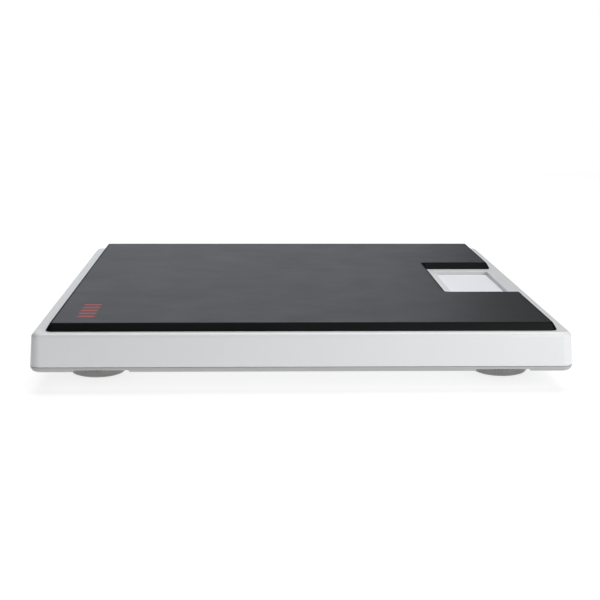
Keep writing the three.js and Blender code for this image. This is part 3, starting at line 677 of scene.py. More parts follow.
@dataclass
class PlatformMat:
    """The rubber mat: a notched plan, a steep bevel and a rounded brow, with the plain red dashes.

    Attributes:
        lip: Height of the upright edge at the mat's foot.
        run: How far the bevel leans in.
        brow: Radius between the bevel and the top.
        corner: Radius of the outer corners at the foot.
        notch_corner: Radius where the notch opens to the side.
        inner_corner: Radius of the notch's two inner corners.
        notch_depth: From the mat's side to the notch's end, at the foot.
        notch_length: Along Y, at the foot.
        rim: Width of the band between the brow and the textured top; the brow and this band take a darker,
            duller rubber, a painted shade line.
        proud: How far the print stands out.
        brow_steps: Points across the brow.
        dashes: How many dashes the print has.
        dash_x: The dashes' place along X.
        dash_y: The first and the last dash's place along Y.
        dash_size: A dash's sides.
        dash_corner: Corner radius of a dash.
    """

    lip: float = 0.5 * MM
    run: float = 3.1 * MM
    brow: float = 1.2 * MM
    corner: float = 5.0 * MM
    notch_corner: float = 4.5 * MM
    inner_corner: float = 1.2 * MM
    notch_depth: float = 57.8 * MM
    notch_length: float = 149.0 * MM
    rim: float = 0.5 * MM
    proud: float = 0.04 * MM
    brow_steps: int = 9
    dashes: int = 5
    dash_x: float = -151.3 * MM
    dash_y: Plan = (-180.3 * MM, -133.7 * MM)
    dash_size: Plan = (12.6 * MM, 5.0 * MM)
    dash_corner: float = 1.6 * MM
    low: Vector = field(default_factory=lambda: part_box("platform_mat")[0])
    high: Vector = field(default_factory=lambda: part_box("platform_mat")[1])

    def outline(self) -> Outline:
        """The mat's foot in plan, with the notch in its +X side."""
        notch_x, half = self.high.x - self.notch_depth, self.notch_length / 2
        vertices = (
            (self.low.x, self.low.y),
            (self.high.x, self.low.y),
            (self.high.x, -half),
            (notch_x, -half),
            (notch_x, half),
            (self.high.x, half),
            (self.high.x, self.high.y),
            (self.low.x, self.high.y),
        )
        c, m, i = self.corner, self.notch_corner, self.inner_corner
        return Outline(vertices, (c, c, m, i, i, m, c, c))

    def profile(self) -> np.ndarray:
        """The edge from the foot to the top: an upright lip, a bevel, and a brow arc tangent to both."""
        top, foot, chamfer = self.high.z - self.proud, self.low.z, 0.25 * MM
        lean = math.atan2(self.run, top - foot - self.lip)
        slope = math.degrees(lean)
        reach = self.brow * math.tan((math.pi / 2 - lean) / 2)
        centre = (self.run + reach, top - self.brow)
        brow = arc(centre, self.brow, 180.0 - slope, 90.0, self.brow_steps)
        return np.concatenate(([(chamfer, foot), (0.0, foot + chamfer), (0.0, foot + self.lip)], brow))

    def build(self) -> None:
        """Makes the mat and its print."""
        surface = Surface()
        outline, profile = self.outline(), self.profile()
        start = len(profile) - self.brow_steps + 1
        # The lip and the bevel take a darker, less glossy copy of the rubber: painted shade.
        surface.part = 1
        edge = surface.sweep(outline, profile[:start])
        surface.cap(edge[0], up=False)
        # The brow and the rim take the darkest, dullest copy of the rubber: a painted shade line along the
        # top's edge.
        surface.part = 2
        inner = profile[-1] + (self.rim, 0.0)
        brow = surface.sweep(outline, np.concatenate((profile[start:], [inner])))
        surface.weave(np.stack((edge[-1], brow[0])))
        surface.part = 0
        surface.cap(brow[-1], up=True)
        piece = surface.build("rubber_mat", RUBBER, SHADED_RUBBER_BEVEL, SHADED_RUBBER_RIM)
        settle(piece, Body.HOUSING.value, "mat", "platform_mat")
        self._print()

    def _print(self) -> None:
        """Makes a row of plain dashes near the front left corner, across the row's direction."""
        surface = Surface()
        sunk, skin = 0.1 * MM, 0.01 * MM
        low, high = self.high.z - self.proud - sunk, self.high.z - skin
        for y in np.linspace(*self.dash_y, self.dashes):
            outline = Outline.rectangle((self.dash_x, y), self.dash_size, self.dash_corner, 6)
            rings = surface.sweep(outline, np.array([(0.0, low), (0.0, high - skin), (2 * skin, high)]))
            surface.close(rings)
        settle(surface.build("mat_dashes", PRINT_RED), Body.HOUSING.value, None)


# ---------------------------------------------------------------- housing


@dataclass
class TopCover:
    """The white moulded cover: drafted walls, a rounded shoulder, and the display well sunk into its top.

    Attributes:
        draft: How far the walls lean in from the parting line to the top.
        shoulder: Radius between the walls and the top.
        corner: Radius of the upright corners.
        well_edge: Radius round the mouth of the display well.
        well_corner: Corner radius of the well.
        ledge: Width of the ledge that the pane rests on.
        wall: Thickness of the moulding.
        gap: Clearance round the pane.
    """

    draft: float = 1.2 * MM
    shoulder: float = 3.2 * MM
    corner: float = 8.0 * MM
    well_edge: float = 0.5 * MM
    well_corner: float = 2.0 * MM
    ledge: float = 2.4 * MM
    wall: float = 2.0 * MM
    gap: float = 0.3 * MM
    low: Vector = field(default_factory=lambda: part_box("top_cover")[0])
    high: Vector = field(default_factory=lambda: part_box("top_cover")[1])

    def build(self) -> None:
        """Makes the skin from the parting line over the shoulder into the well, then thickens it."""
        surface = Surface()
        outline = Outline.rectangle((0.0, 0.0), sides(self.low, self.high), self.corner, 16)
        top, r = self.high.z, self.shoulder
        parting = self.low.z
        wall_tilt = math.degrees(math.atan2(self.draft, top - parting))
        shoulder = arc((self.draft + r, top - r), r, 180.0 - wall_tilt, 90.0, 12)
        chamfer = 0.12 * MM
        foot = [(chamfer, parting), (0.0, parting + chamfer)]
        outer = surface.sweep(outline, np.concatenate((foot, shoulder)))

        pane_low, pane_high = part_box("display_window")
        size_x, size_y = sides(pane_low, pane_high)
        well_size = (size_x + 2 * self.gap, size_y + 2 * self.gap)
        well = Outline.rectangle(middle(pane_low, pane_high), well_size, self.well_corner, 10)
        under_gasket = 0.1 * MM
        ledge_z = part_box("window_gasket")[0].z - under_gasket
        edge = self.well_edge
        mouth = arc((-edge, top - edge), edge, 90.0, 0.0, 6)
        down = np.concatenate((mouth, [(0.0, ledge_z), (self.ledge, ledge_z)]))
        inner = surface.sweep(well, down)
        surface.plate(outer[-1], [inner[0]], up=True)
        piece = surface.build("cover_moulding", HOUSING_WHITE, weighted=False)
        thick = piece.modifiers.new("moulding wall", "SOLIDIFY")
        thick.thickness = self.wall
        thick.offset = -1.0
        shade_evenly(piece)
        settle(piece, Body.HOUSING.value, "housing", "top_cover")


@dataclass
class BasePan:
    """The lower shell: a rounded rim with thumb slots, stud holes, screw wells and the battery door's track.

    Attributes:
        edge: Radius of the rim's outer edge.
        foot_edge: Radius of the rim's inner lower edge.
        inset: How far the pan stands back from the cover.
        corner: Radius of the upright corners.
        rim_height: How far the rim reaches below the underside.
        rim_width: Width of the rim.
        thumb_slot: Width of a thumb slot.
        thumb_shift: How far a thumb slot stands from its foot, towards the middle.
        thumb_slope: Width of the slope at each end of a thumb slot.
        floor: Thickness of the pan's floor.
        stud_hole: Radius of the hole round each foot's stud.
        stud_ring: Width of the recess round a stud hole, clear of the risen disc.
        stud_recess: Depth of that recess.
        screw_hole: Radius of each screw well.
        screw_depth: Depth of each screw well.
        switch_slope: Width of the slope round the switch's slot.
        ledge: Height of the ledges that carry the door.
        flange: How far the door reaches over each ledge.
        track_wall: Thickness of the track's roof and sides.
        track_corner: Corner radius of the track and of the battery case's mouth.
        case_wall: Thickness of the battery case's walls.
        chamfer: Slope at the mouths of the wells and of the track.
        gap: Clearance round the pieces that move.
    """

    edge: float = 4.0 * MM
    foot_edge: float = 0.5 * MM
    inset: float = 0.05 * MM
    corner: float = 8.0 * MM
    rim_height: float = 1.8 * MM
    rim_width: float = 6.6 * MM
    thumb_slot: float = 37.0 * MM
    thumb_shift: float = 8.7 * MM
    thumb_slope: float = 0.8 * MM
    floor: float = 2.0 * MM
    stud_hole: float = 6.0 * MM
    stud_ring: float = 2.4 * MM
    stud_recess: float = 0.5 * MM
    screw_hole: float = 3.5 * MM
    screw_depth: float = 3.0 * MM
    switch_slope: float = 0.9 * MM
    ledge: float = 1.2 * MM
    flange: float = 1.8 * MM
    track_wall: float = 1.8 * MM
    track_corner: float = 0.6 * MM
    case_wall: float = 1.8 * MM
    chamfer: float = 0.3 * MM
    gap: float = 0.3 * MM
    surface: Surface = field(default_factory=Surface)
    lower_holes: list[np.ndarray] = field(default_factory=list)
    upper_holes: list[np.ndarray] = field(default_factory=list)

    def __post_init__(self) -> None:
        """Takes the underside's height and the inner face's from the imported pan."""
        self.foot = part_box("base_pan")[0].z
        self.bottom = self.foot + self.rim_height
        self.top = self.bottom + self.floor

    def build(self) -> None:
        """Makes one closed surface: the rim, the two faces, and a tunnel or a well at each opening."""
        rings = self._rim()
        for corner in CORNERS:
            self._stud_hole(corner)
        for number in range(1, 7):
            self._screw_well(number)
        self._switch_slot()
        self._track()
        self.surface.plate(rings[0], self.lower_holes, up=False)
        self.surface.plate(rings[-1], self.upper_holes, up=True)
        # The pan is grey: painted shade for its lower edge.
        settle(self.surface.build("pan_moulding", PAN_PAINTED_SHADE), Body.HOUSING.value, "housing", "base_pan")

    def _rim(self) -> np.ndarray:
        """The rim: from the underside down to its foot, round the outer edge, and up to the parting line.

        Where a thumb slot crosses the front or the back, every height below the underside is raised to it.

        Returns:
            The rings, rows by columns.
        """
        outline = Outline.rectangle((0.0, 0.0), sides(*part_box("top_cover")), self.corner, 16)
        r, foot = self.foot_edge, self.foot
        inner = arc((self.rim_width - r, foot + r), r, 0.0, -90.0, 4)
        outer = arc((self.edge + self.inset, foot + self.edge), self.edge, 270.0, 180.0, 16)
        ends = [(self.rim_width, self.bottom)], [(self.inset, self.top)]
        marks, open_at = self._slot_marks()
        rings = []
        for inset, height in np.concatenate((ends[0], inner, outer[:-1], ends[1])):
            plan, lift = self._marked(outline.at(inset), marks, open_at)
            z = height + lift * max(self.bottom - height, 0.0)
            rings.append(np.column_stack((plan, z)))
        index = self.surface.add_points(np.stack(rings))
        self.surface.weave(index)
        return index

    def _slot_marks(self) -> tuple[np.ndarray, np.ndarray]:
        """Where the thumb slots start and end along X.

        Returns:
            The places, in rising order, and how open the rim is at each, from 0 to 1.
        """
        marks = []
        for corner in ("front_left", "front_right"):
            x = middle(*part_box(f"foot_wheel_{corner}"))[0]
            centre = x - math.copysign(self.thumb_shift, x)
            start, end = centre - self.thumb_slot / 2, centre + self.thumb_slot / 2
            marks += [start - self.thumb_slope, start, end, end + self.thumb_slope]
        return np.array(marks), np.array([0.0, 1.0, 1.0, 0.0] * 2)

    def _marked(
        self, ring: np.ndarray, marks: np.ndarray, open_at: np.ndarray
    ) -> tuple[np.ndarray, np.ndarray]:
        """A ring with points added along the front and the back.

        Args:
            ring: The rim's outline at one inset.
            marks: The added points' places along X.
            open_at: How open the rim is at each.

        Returns:
            The points, and how open the rim is at each of them.
        """
        front_left, front_right, back_right, back_left = ring.reshape(4, -1, 2)
        front = np.column_stack((marks, np.full(len(marks), front_left[-1, 1])))
        back = np.column_stack((marks[::-1], np.full(len(marks), back_right[-1, 1])))
        closed = np.zeros(len(front_left))
        plan = np.concatenate((front_left, front, front_right, back_right, back, back_left))
        return plan, np.concatenate((closed, open_at, closed, closed, open_at[::-1], closed))

    def _through(self, index: np.ndarray) -> None:
        """Notes a tunnel's first ring as a hole in the underside and its last as one in the inner face."""
        self.lower_holes.append(index[0])
        self.upper_holes.append(index[-1])

    def _stud_hole(self, corner: str) -> None:
        """A hole for a foot's stud, with a shallow recess round its mouth.

        Args:
            corner: The foot's corner.
        """
        r, reach, floor = self.stud_hole, self.stud_hole + self.stud_ring, self.bottom + self.stud_recess
        profile = np.array(
            [
                (reach, self.bottom),
                (reach - 0.2 * MM, self.bottom + 0.2 * MM),
                (reach - 0.25 * MM, floor),
                (r + 0.4 * MM, floor),
                (r, floor + 0.4 * MM),
                (r, self.top),
            ]
        )
        centre = middle(*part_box(f"foot_stud_{corner}"))
        self._through(turned(self.surface, profile, centre, 64, out=False))

    def _screw_well(self, number: int) -> None:
        """A blind round well over a screw head.

        Args:
            number: The screw's number.
        """
        r, bottom = self.screw_hole, self.bottom
        profile = [(r + self.chamfer, bottom), (r, bottom + self.chamfer), (r, bottom + self.screw_depth)]
        centre = middle(*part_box(f"housing_screw_{number}"))
        index = turned(self.surface, np.array(profile), centre, 48, out=False)
        self.surface.cap(index[-1], up=False)
        self.lower_holes.append(index[0])

    def _switch_slot(self) -> None:
        """A through slot for the unit switch's knob, with a sloped mouth."""
        low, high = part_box("unit_switch_knob")
        high.y += travel_of("unit_switch_slide")
        size = (high.x - low.x + 2 * self.gap, high.y - low.y + 2 * self.gap)
        slot = Outline.rectangle(middle(low, high), size, 0.4 * MM, 4)
        slope, bottom = self.switch_slope, self.bottom
        self._through(self._hole(slot, (-slope, bottom), (0.0, bottom + slope), (0.0, self.top)))

    def _hole(self, outline: Outline, *profile: Plan) -> np.ndarray:
        """A sweep whose faces look into the hole, from the underside up."""
        return self.surface.sweep(outline, np.array(profile), out=False)

    def _track(self) -> None:
        """The door's track: two ledges, a roof, and the mouth of the battery case through the roof."""
        low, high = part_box("battery_door")
        end_room = 1.0 * MM
        low_x, high_x = low.x - travel_of("battery_door_slide") - end_room, high.x + self.gap
        centre, length = ((low_x + high_x) / 2, 0.0), high_x - low_x
        channel = Outline.rectangle(centre, (length, 2 * (high.y + self.gap)), self.track_corner, 5)
        between = Outline.rectangle(centre, (length, 2 * (high.y - self.flange)), self.track_corner, 5)
        roof, ledge_top, slope = high.z + self.gap, self.bottom + self.ledge, self.chamfer
        mouth_of_track = (-slope, self.bottom), (0.0, self.bottom + slope)
        lower = self._hole(between, *mouth_of_track, (0.0, ledge_top))
        upper = self._hole(channel, (0.0, ledge_top), (0.0, roof))
        self.surface.weave(np.stack((upper[0], lower[-1])))
        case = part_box("battery_case")
        mouth_size = tuple(side - 2 * self.case_wall for side in sides(*case))
        mouth = Outline.rectangle(middle(*case), mouth_size, self.track_corner, 5)
        roof_top = roof + self.track_wall
        rim = self._hole(mouth, (0.0, roof), (0.0, roof_top))
        self.surface.plate(upper[-1], [rim[0]], up=False)
        out = -self.track_wall
        outside = self.surface.sweep(channel, np.array([(out, self.top), (out, roof_top)]))
        self.surface.plate(outside[-1], [rim[-1]], up=True)
        self.lower_holes.append(lower[0])
        self.upper_holes.append(outside[0])


# ---------------------------------------------------------------- display


@dataclass
class Display:
    """The clear pane, its gasket line, and the display glass with its idle segments.

    Attributes:
        pane_edge: Radius round the pane's upper and lower edges.
        pane_corner: Radius of the pane's upright corners.
        glass_edge: Radius round the display glass's edges.
        glass_corner: Radius of the display glass's upright corners.
        digits: How many figures the display can show.
        digit_height: Height of one figure, along -X as the reader stands at the +X side.
        digit_width: Width of one figure, along Y.
        digit_pitch: From one figure to the next.
        stroke: Width of one segment.
        slant: How far a figure leans, as a share of its height.
        proud: How far a segment stands above the glass.
        depth: Thickness of a segment.
    """

    pane_edge: float = 0.35 * MM
    pane_corner: float = 1.7 * MM
    glass_edge: float = 0.15 * MM
    glass_corner: float = 0.4 * MM
    digits: int = 4
    digit_height: float = 25.0 * MM
    digit_width: float = 14.0 * MM
    digit_pitch: float = 22.0 * MM
    stroke: float = 2.6 * MM
    slant: float = 0.08
    proud: float = 0.03 * MM
    depth: float = 0.05 * MM

    def build(self) -> None:
        """Makes the pane, the glass and the segments."""
        pane = self._slab("display_window", self.pane_corner, self.pane_edge)
        settle(pane.build("display_pane", PANE_PAINTED_REFLECTION), Body.HOUSING.value, "window", "display_window")
        glass = self._slab("lcd_panel", self.glass_corner, self.glass_edge)
        settle(glass.build("display_glass", DISPLAY_GLASS), Body.HOUSING.value, "lcd", "lcd_panel")
        self._segments()
        dress(["window_gasket", "lcd_strip_left", "lcd_strip_right"], GASKET)
        dress(["lcd_holder"], NATURAL)

    def _slab(self, node: str, corner: float, edge: float) -> Surface:
        """A rounded slab that fills a node's box.

        Args:
            node: The node.
            corner: Radius of the upright corners.
            edge: Radius round the upper and lower edges.

        Returns:
            The slab's surface.
        """
        low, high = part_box(node)
        outline = Outline.rectangle(middle(low, high), sides(low, high), corner, 8)
        lower = arc((edge, low.z + edge), edge, 270.0, 180.0, 4)
        upper = arc((edge, high.z - edge), edge, 180.0, 90.0, 4)
        surface = Surface()
        surface.close(surface.sweep(outline, np.concatenate((lower, upper))))
        return surface

    def _segments(self) -> None:
        """Seven hexagonal bars for each figure, read from the +X side.

        A bar runs between two of a figure's six grid points. Its six corners are the two ends and the four
        points half a stroke in from each end and half a stroke to either side.
        """
        across, up = self.digit_width / 2 - self.stroke / 2, self.digit_height / 2 - self.stroke / 2
        nodes = np.array([(x, y) for y in (up, 0.0, -up) for x in (-across, across)])
        bars = np.array([(0, 1), (2, 3), (4, 5), (0, 2), (1, 3), (2, 4), (3, 5)])
        start, end = nodes[bars[:, 0]], nodes[bars[:, 1]]
        along = (end - start) / np.linalg.norm(end - start, axis=1, keepdims=True)
        side = np.stack((-along[:, 1], along[:, 0]), axis=1)
        gap, half = 0.25 * MM, self.stroke / 2 - 0.15 * MM
        a, b = start + along * gap, end - along * gap
        ahead, aside = along * half, side * half
        right = (a, a + ahead - aside, b - ahead - aside)
        ring = np.stack((*right, b, b - ahead + aside, a + ahead + aside), axis=1)
        ring[..., 0] += self.slant * ring[..., 1]
        low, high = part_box("lcd_panel")
        centre_x, centre_y = middle(low, high)
        offsets = (np.arange(self.digits) - (self.digits - 1) / 2) * self.digit_pitch
        # A reader at the +X side sees +Y to the right and -X upwards.
        x = centre_x - np.broadcast_to(ring[..., 1], (self.digits, *ring.shape[:2]))
        y = centre_y + offsets[:, None, None] + ring[..., 0]
        rings = np.stack((x, y, np.full_like(x, high.z + self.proud)), axis=-1).reshape(-1, 6, 3)
        surface = Surface()
        sunk = rings.copy()
        sunk[..., 2] -= self.depth
        for upper, lower in zip(rings, sunk):
            index = surface.add_points(np.stack((lower, upper)))
            surface.weave(index)
            surface.close(index)
        piece = surface.build("idle_segments", DISPLAY_SEGMENT, weighted=False)
        settle(piece, Body.HOUSING.value, "lcd")


# ---------------------------------------------------------------- feet


@dataclass
class LevellingFoot:
    """One foot: a rubber sole, a turned disc with a gripped rim, and a threaded stud.

    Attributes:
        corner: Which corner it stands at.
        grip_depth: Depth of the grooves in the rim.
        grip_count: How many grooves.
        disc_edge: Radius of the disc's lower edge.
        shoulder: Height of the disc's shoulder above its base.
        hub: Radius of the hub.
        bore: Radius of the hole for the stud.
        gap: Clearance between the disc and the sole.
        sole_edge: Radius of the sole's lower edge.
        groove_starts: Where the sole's grooves start, from the axis.
        pitch: The thread's pitch.
        thread_depth: Depth of the thread.
    """

    corner: str
    grip_depth: float = 0.35 * MM
    grip_count: int = 48
    disc_edge: float = 2.4 * MM
    shoulder: float = 8.4 * MM
    hub: float = 8.0 * MM
    bore: float = 4.3 * MM
    gap: float = 0.3 * MM
    sole_edge: float = 0.5 * MM
    groove_starts: tuple[float, ...] = (5.0 * MM, 10.0 * MM)
    pitch: float = 1.25 * MM
    thread_depth: float = 0.6 * MM

    def build(self) -> None:
        """Makes the three pieces."""
        self.centre = middle(*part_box(f"foot_stud_{self.corner}"))
        self._sole()
        self._disc()
        self._stud()

    def _sole(self) -> None:
        """The sole: a flat disc with two round grooves under it."""
        low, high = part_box(f"foot_pad_{self.corner}")
        r, base, top, edge = (high.x - low.x) / 2, low.z, high.z, self.sole_edge
        grooves = np.array([(0.2 * MM, 0.5 * MM), (1.2 * MM, 0.5 * MM), (1.4 * MM, 0.0), (4.2 * MM, 0.0)])
        steps = [[(0.0, base), (self.groove_starts[0], base)]]
        steps += [grooves + (start, base) for start in self.groove_starts]
        rim = arc((r - edge, base + edge), edge, 270.0, 360.0, 5)
        profile = np.concatenate((*steps, rim, [(r, top), (0.0, top)]))
        surface = Surface()
        turned(surface, profile, self.centre, 72)
        piece = surface.build(f"foot_sole_{self.corner}", FOOT_RUBBER)
        close_poles(piece)
        settle(piece, f"foot_{self.corner}", "foot_sole", f"foot_pad_{self.corner}")

    def _disc(self) -> None:
        """The disc: recessed under, a rounded lower edge, a gripped rim, and a stepped hub."""
        low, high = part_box(f"foot_wheel_{self.corner}")
        sole_low, sole_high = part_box(f"foot_pad_{self.corner}")
        r, base, shoulder = (high.x - low.x) / 2, low.z, low.z + self.shoulder
        recess, recess_z = (sole_high.x - sole_low.x) / 2 + self.gap, sole_high.z + self.gap
        hub, bore, fillet = self.hub, self.bore, 0.6 * MM
        under = [(bore, recess_z), (recess, recess_z), (recess, base)]
        edge, upper_edge, hub_edge = self.disc_edge, 1.0 * MM, 0.5 * MM
        lower = arc((r - edge, base + edge), edge, 270.0, 360.0, 9)
        grip_low, grip_high = base + 4.7 * MM, shoulder - 1.3 * MM
        grip = np.stack((np.full(6, r), np.linspace(grip_low, grip_high, 6)), axis=1)
        upper = arc((r - upper_edge, shoulder - upper_edge), upper_edge, 0.0, 90.0, 5)
        step = [(hub + fillet, shoulder), (hub, shoulder + fillet)]
        crown = arc((hub - hub_edge, high.z - hub_edge), hub_edge, 0.0, 90.0, 4)
        profile = np.concatenate((under, lower, grip, upper, step, crown, [(bore, high.z)]))
        columns = self.grip_count * 6
        angle = np.linspace(0.0, 2 * math.pi, columns, endpoint=False)
        # The grooves are rounded: the radius dips with the fourth power of the sine of half their phase.
        dip = -self.grip_depth * np.sin(angle * self.grip_count / 2) ** 4
        first = len(under) + len(lower)
        gripped = np.isin(np.arange(len(profile)), np.arange(first + 1, first + len(grip) - 1))
        lobes = dip[None, :] * gripped[:, None]
        surface = Surface()
        index = turned(surface, profile, self.centre, columns, lobes)
        surface.weave(np.stack((index[-1], index[0])))
        piece = surface.build(f"foot_disc_{self.corner}", FOOT_METAL)
        settle(piece, f"foot_{self.corner}_wheel", "foot_disc", f"foot_wheel_{self.corner}")

    def _stud(self) -> None:
        """The stud: radius = middle + depth / 2 x cosine of (turns up the thread minus the angle)."""
        low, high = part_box(f"foot_stud_{self.corner}")
        r, columns, rows_per_turn = (high.x - low.x) / 2, 32, 8
        rows = int((high.z - low.z) / self.pitch * rows_per_turn)
        height = np.linspace(low.z, high.z, rows)
        angle = np.linspace(0.0, 2 * math.pi, columns, endpoint=False)
        phase = 2 * math.pi * (height[:, None] - low.z) / self.pitch - angle[None, :]
        lobes = self.thread_depth / 2 * (np.cos(phase) - 1.0)
        profile = np.stack((np.full(rows, r), height), axis=1)
        surface = Surface()
        surface.close(turned(surface, profile, self.centre, columns, lobes))
        piece = surface.build(f"threaded_stud_{self.corner}", ZINC, sharp_degrees=60.0, weighted=False)
        settle(piece, f"foot_{self.corner}_wheel", "steel", f"foot_stud_{self.corner}")


# ---------------------------------------------------------------- underside


@dataclass
class BatteryBay:
    """The sliding door with its grip ribs, the cells behind it, and their contacts.

    Attributes:
        corner: Radius of the door's upright corners.
        leaf_edge: Radius of the leaf's lower edge.
        leaf_depth: Height of the leaf below the door's wide part.
        ledge: Width of the ledge that the wide part lies on.
        clearance: From the leaf to the ledge.
        ribs: How many grip ribs the door has.
        rib_start: From the door's middle to the first rib, along X.
        rib_pitch: From one rib to the next.
        rib_size: Sides of a rib.
        rib_corner: Radius of a rib's ends.
        rib_height: How far a rib's rounded edge reaches, from the leaf's lower face.
        rib_foot: How deep a rib goes into the leaf.
        shoulder: Radius of a cell's two shoulders.
        dish: How far a cell's two end faces are sunk.
        button_height: Height of a cell's button.
        button_radius: Radius of the button.
        button_edge: Radius of the button's edge.
    """

    corner: float = 0.8 * MM
    leaf_edge: float = 0.4 * MM
    leaf_depth: float = 1.2 * MM
    ledge: float = 1.8 * MM
    clearance: float = 0.3 * MM
    ribs: int = 5
    rib_start: float = 6.0 * MM
    rib_pitch: float = 3.0 * MM
    rib_size: Plan = (1.4 * MM, 24.0 * MM)
    rib_corner: float = 0.69 * MM
    rib_height: float = 0.25 * MM
    rib_foot: float = 0.3 * MM
    shoulder: float = 0.7 * MM
    dish: float = 0.25 * MM
    button_height: float = 1.2 * MM
    button_radius: float = 2.75 * MM
    button_edge: float = 0.4 * MM

    def build(self) -> None:
        """Makes the door and the cells, and dresses the case and contacts."""
        self._door()
        for number in range(1, 5):
            self._cell(number)
        dress(["battery_case"], NATURAL)
        dress(starting("battery_contact"), NICKEL)

    def _door(self) -> None:
        """The door: a leaf between the ledges, wider above them, with a row of ribs to push."""
        low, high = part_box("battery_door")
        centre, (door_x, door_y) = middle(low, high), sides(low, high)
        wide = Outline.rectangle(centre, (door_x, door_y), self.corner, 6)
        leaf_y = door_y - 2 * (self.ledge + self.clearance)
        leaf = Outline.rectangle(centre, (door_x, leaf_y), self.corner, 6)
        flange_z, edge = low.z + self.leaf_depth, self.leaf_edge
        leaf_profile = np.concatenate((arc((edge, low.z + edge), edge, 270.0, 180.0, 5), [(0.0, flange_z)]))
        surface = Surface()
        lower = surface.sweep(leaf, leaf_profile)
        upper = surface.sweep(wide, np.array([(0.0, flange_z), (0.0, high.z)]))
        surface.weave(np.stack((lower[-1], upper[0])))
        surface.cap(lower[0], up=False)
        surface.cap(upper[-1], up=True)
        r = self.rib_height
        crown = np.concatenate((arc((r, low.z), r, 270.0, 180.0, 4), [(0.0, low.z + self.rib_foot)]))
        for x in centre[0] + self.rib_start + self.rib_pitch * np.arange(self.ribs):
            rib = Outline.rectangle((x, centre[1]), self.rib_size, self.rib_corner, 6)
            surface.close(surface.sweep(rib, crown))
        # The door takes the pan's grey, the painted shade of the lower edge.
        settle(surface.build("door_moulding", PAN_PAINTED_SHADE), Body.DOOR.value, "housing", "battery_door")

    def _cell(self, number: int) -> None:
        """A battery: a turned can with a rolled shoulder and a button, laid along Y.

        Args:
            number: The cell's number. Odd cells have the button at the +Y end, even ones at the -Y end.
        """
        low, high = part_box(f"battery_cell_{number}")
        length, r, roll = high.y - low.y, (high.x - low.x) / 2, self.shoulder
        can, button, tip = length - self.button_height, self.button_radius, self.button_edge
        foot = [(0.0, self.dish), (r - 3.0 * MM, self.dish), (r - 2.2 * MM, 0.0)]
        lower = arc((r - roll, roll), roll, 270.0, 360.0, 6)
        upper = arc((r - roll, can - roll), roll, 0.0, 90.0, 6)
        neck = [(r - 1.6 * MM, can - self.dish), (button, can - self.dish)]
        crown = arc((button - tip, length - tip), tip, 0.0, 90.0, 4)
        surface = Surface()
        turned(surface, np.concatenate((foot, lower, upper, neck, crown, [(0.0, length)])), (0.0, 0.0), 48)
        piece = surface.build(f"cell_can_{number}", CELL_WRAP)
        close_poles(piece)
        # The can's own axis is laid along Y, with the button at the end that it faces.
        facing, start = (1.0, low.y) if number % 2 else (-1.0, high.y)
        x, z = (low.x + high.x) / 2, (low.z + high.z) / 2
        lay = Matrix(((1, 0, 0, x), (0, 0, facing, start), (0, -facing, 0, z), (0, 0, 0, 1)))
        piece.data.transform(lay)
        settle(piece, Body.HOUSING.value, "cell_wrap", f"battery_cell_{number}")


@dataclass
class Fasteners:
    """The housing screws, with cross recesses that show in the underside.

    Attributes:
        cross_width: Width of a recess arm.
        cross_reach: From the axis to an arm's end.
        cross_depth: Depth of the recess.
        wall: Width of the slope beside an arm.
        end_slope: Length of the slope at an arm's end.
        dome: How far the face rises from the rim to the axis.
        edge: Radius of the head's edge.
        head_height: Height of the head.
        shank: Radius of the shank.
        tip: Length of the shank's point.
    """

    cross_width: float = 0.9 * MM
    cross_reach: float = 1.9 * MM
    cross_depth: float = 1.1 * MM
    wall: float = 0.15 * MM
    end_slope: float = 0.5 * MM
    dome: float = 0.25 * MM
    edge: float = 0.5 * MM
    head_height: float = 2.2 * MM
    shank: float = 1.5 * MM
    tip: float = 1.0 * MM

    def build(self) -> None:
        """Makes the six screws."""
        for number in range(1, 7):
            self._screw(number)

    def _screw(self, number: int) -> None:
        """A screw: a domed head whose face dips inside a cross, and a plain shank.

        The dip is the depth x a ramp across the nearer arm x a ramp towards that arm's end.

        Args:
            number: The screw's number.
        """
        low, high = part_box(f"housing_screw_{number}")
        centre = middle(low, high)
        head, under = (high.x - low.x) / 2, low.z + self.head_height
        columns, rows = 96, 22
        radius = np.linspace(0.0, head - self.edge, rows)[:, None]
        angle = np.linspace(0.0, 2 * math.pi, columns, endpoint=False)
        x, y = radius * np.cos(angle), radius * np.sin(angle)
        narrow, wide = np.minimum(np.abs(x), np.abs(y)), np.maximum(np.abs(x), np.abs(y))
        across = np.clip((self.cross_width / 2 - narrow) / self.wall + 0.5, 0.0, 1.0)
        along = np.clip((self.cross_reach - wide) / self.end_slope, 0.0, 1.0)
        z = low.z + self.dome * (radius / head) ** 2 + self.cross_depth * across * along
        surface = Surface()
        face = surface.add_points(np.stack((centre[0] + x, centre[1] + y, z), axis=-1))
        surface.weave(face)
        rim = arc((head - self.edge, low.z + 0.7 * MM), self.edge, 280.0, 360.0, 6)
        shank = [(head, under), (self.shank, under), (self.shank, high.z - self.tip), (0.0, high.z)]
        index = turned(surface, np.concatenate((rim, shank)), centre, columns)
        surface.weave(np.stack((face[-1], index[0])))
        piece = surface.build(f"cross_screw_{number}", ZINC)
        close_poles(piece)
        settle(piece, Body.HOUSING.value, "steel", f"housing_screw_{number}")


@dataclass
class InnerWorks:
    """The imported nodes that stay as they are, each in its own finish."""

    def build(self) -> None:
        """Dresses the plate, cells, board and leads."""
        dress(starting("load_cell"), MILLED)
        dress(starting("cell_spacer", "load_plate", "board_screw", "unit_switch_body"), ZINC)
        dress(starting("cell_lead", "battery_lead"), SLEEVE)
        dress(["main_board"], SOLDER_MASK)
        dress(["processor_chip", "converter_chip"], PACKAGE)
        dress(["unit_switch_knob"], KNOB)


# ---------------------------------------------------------------- studio


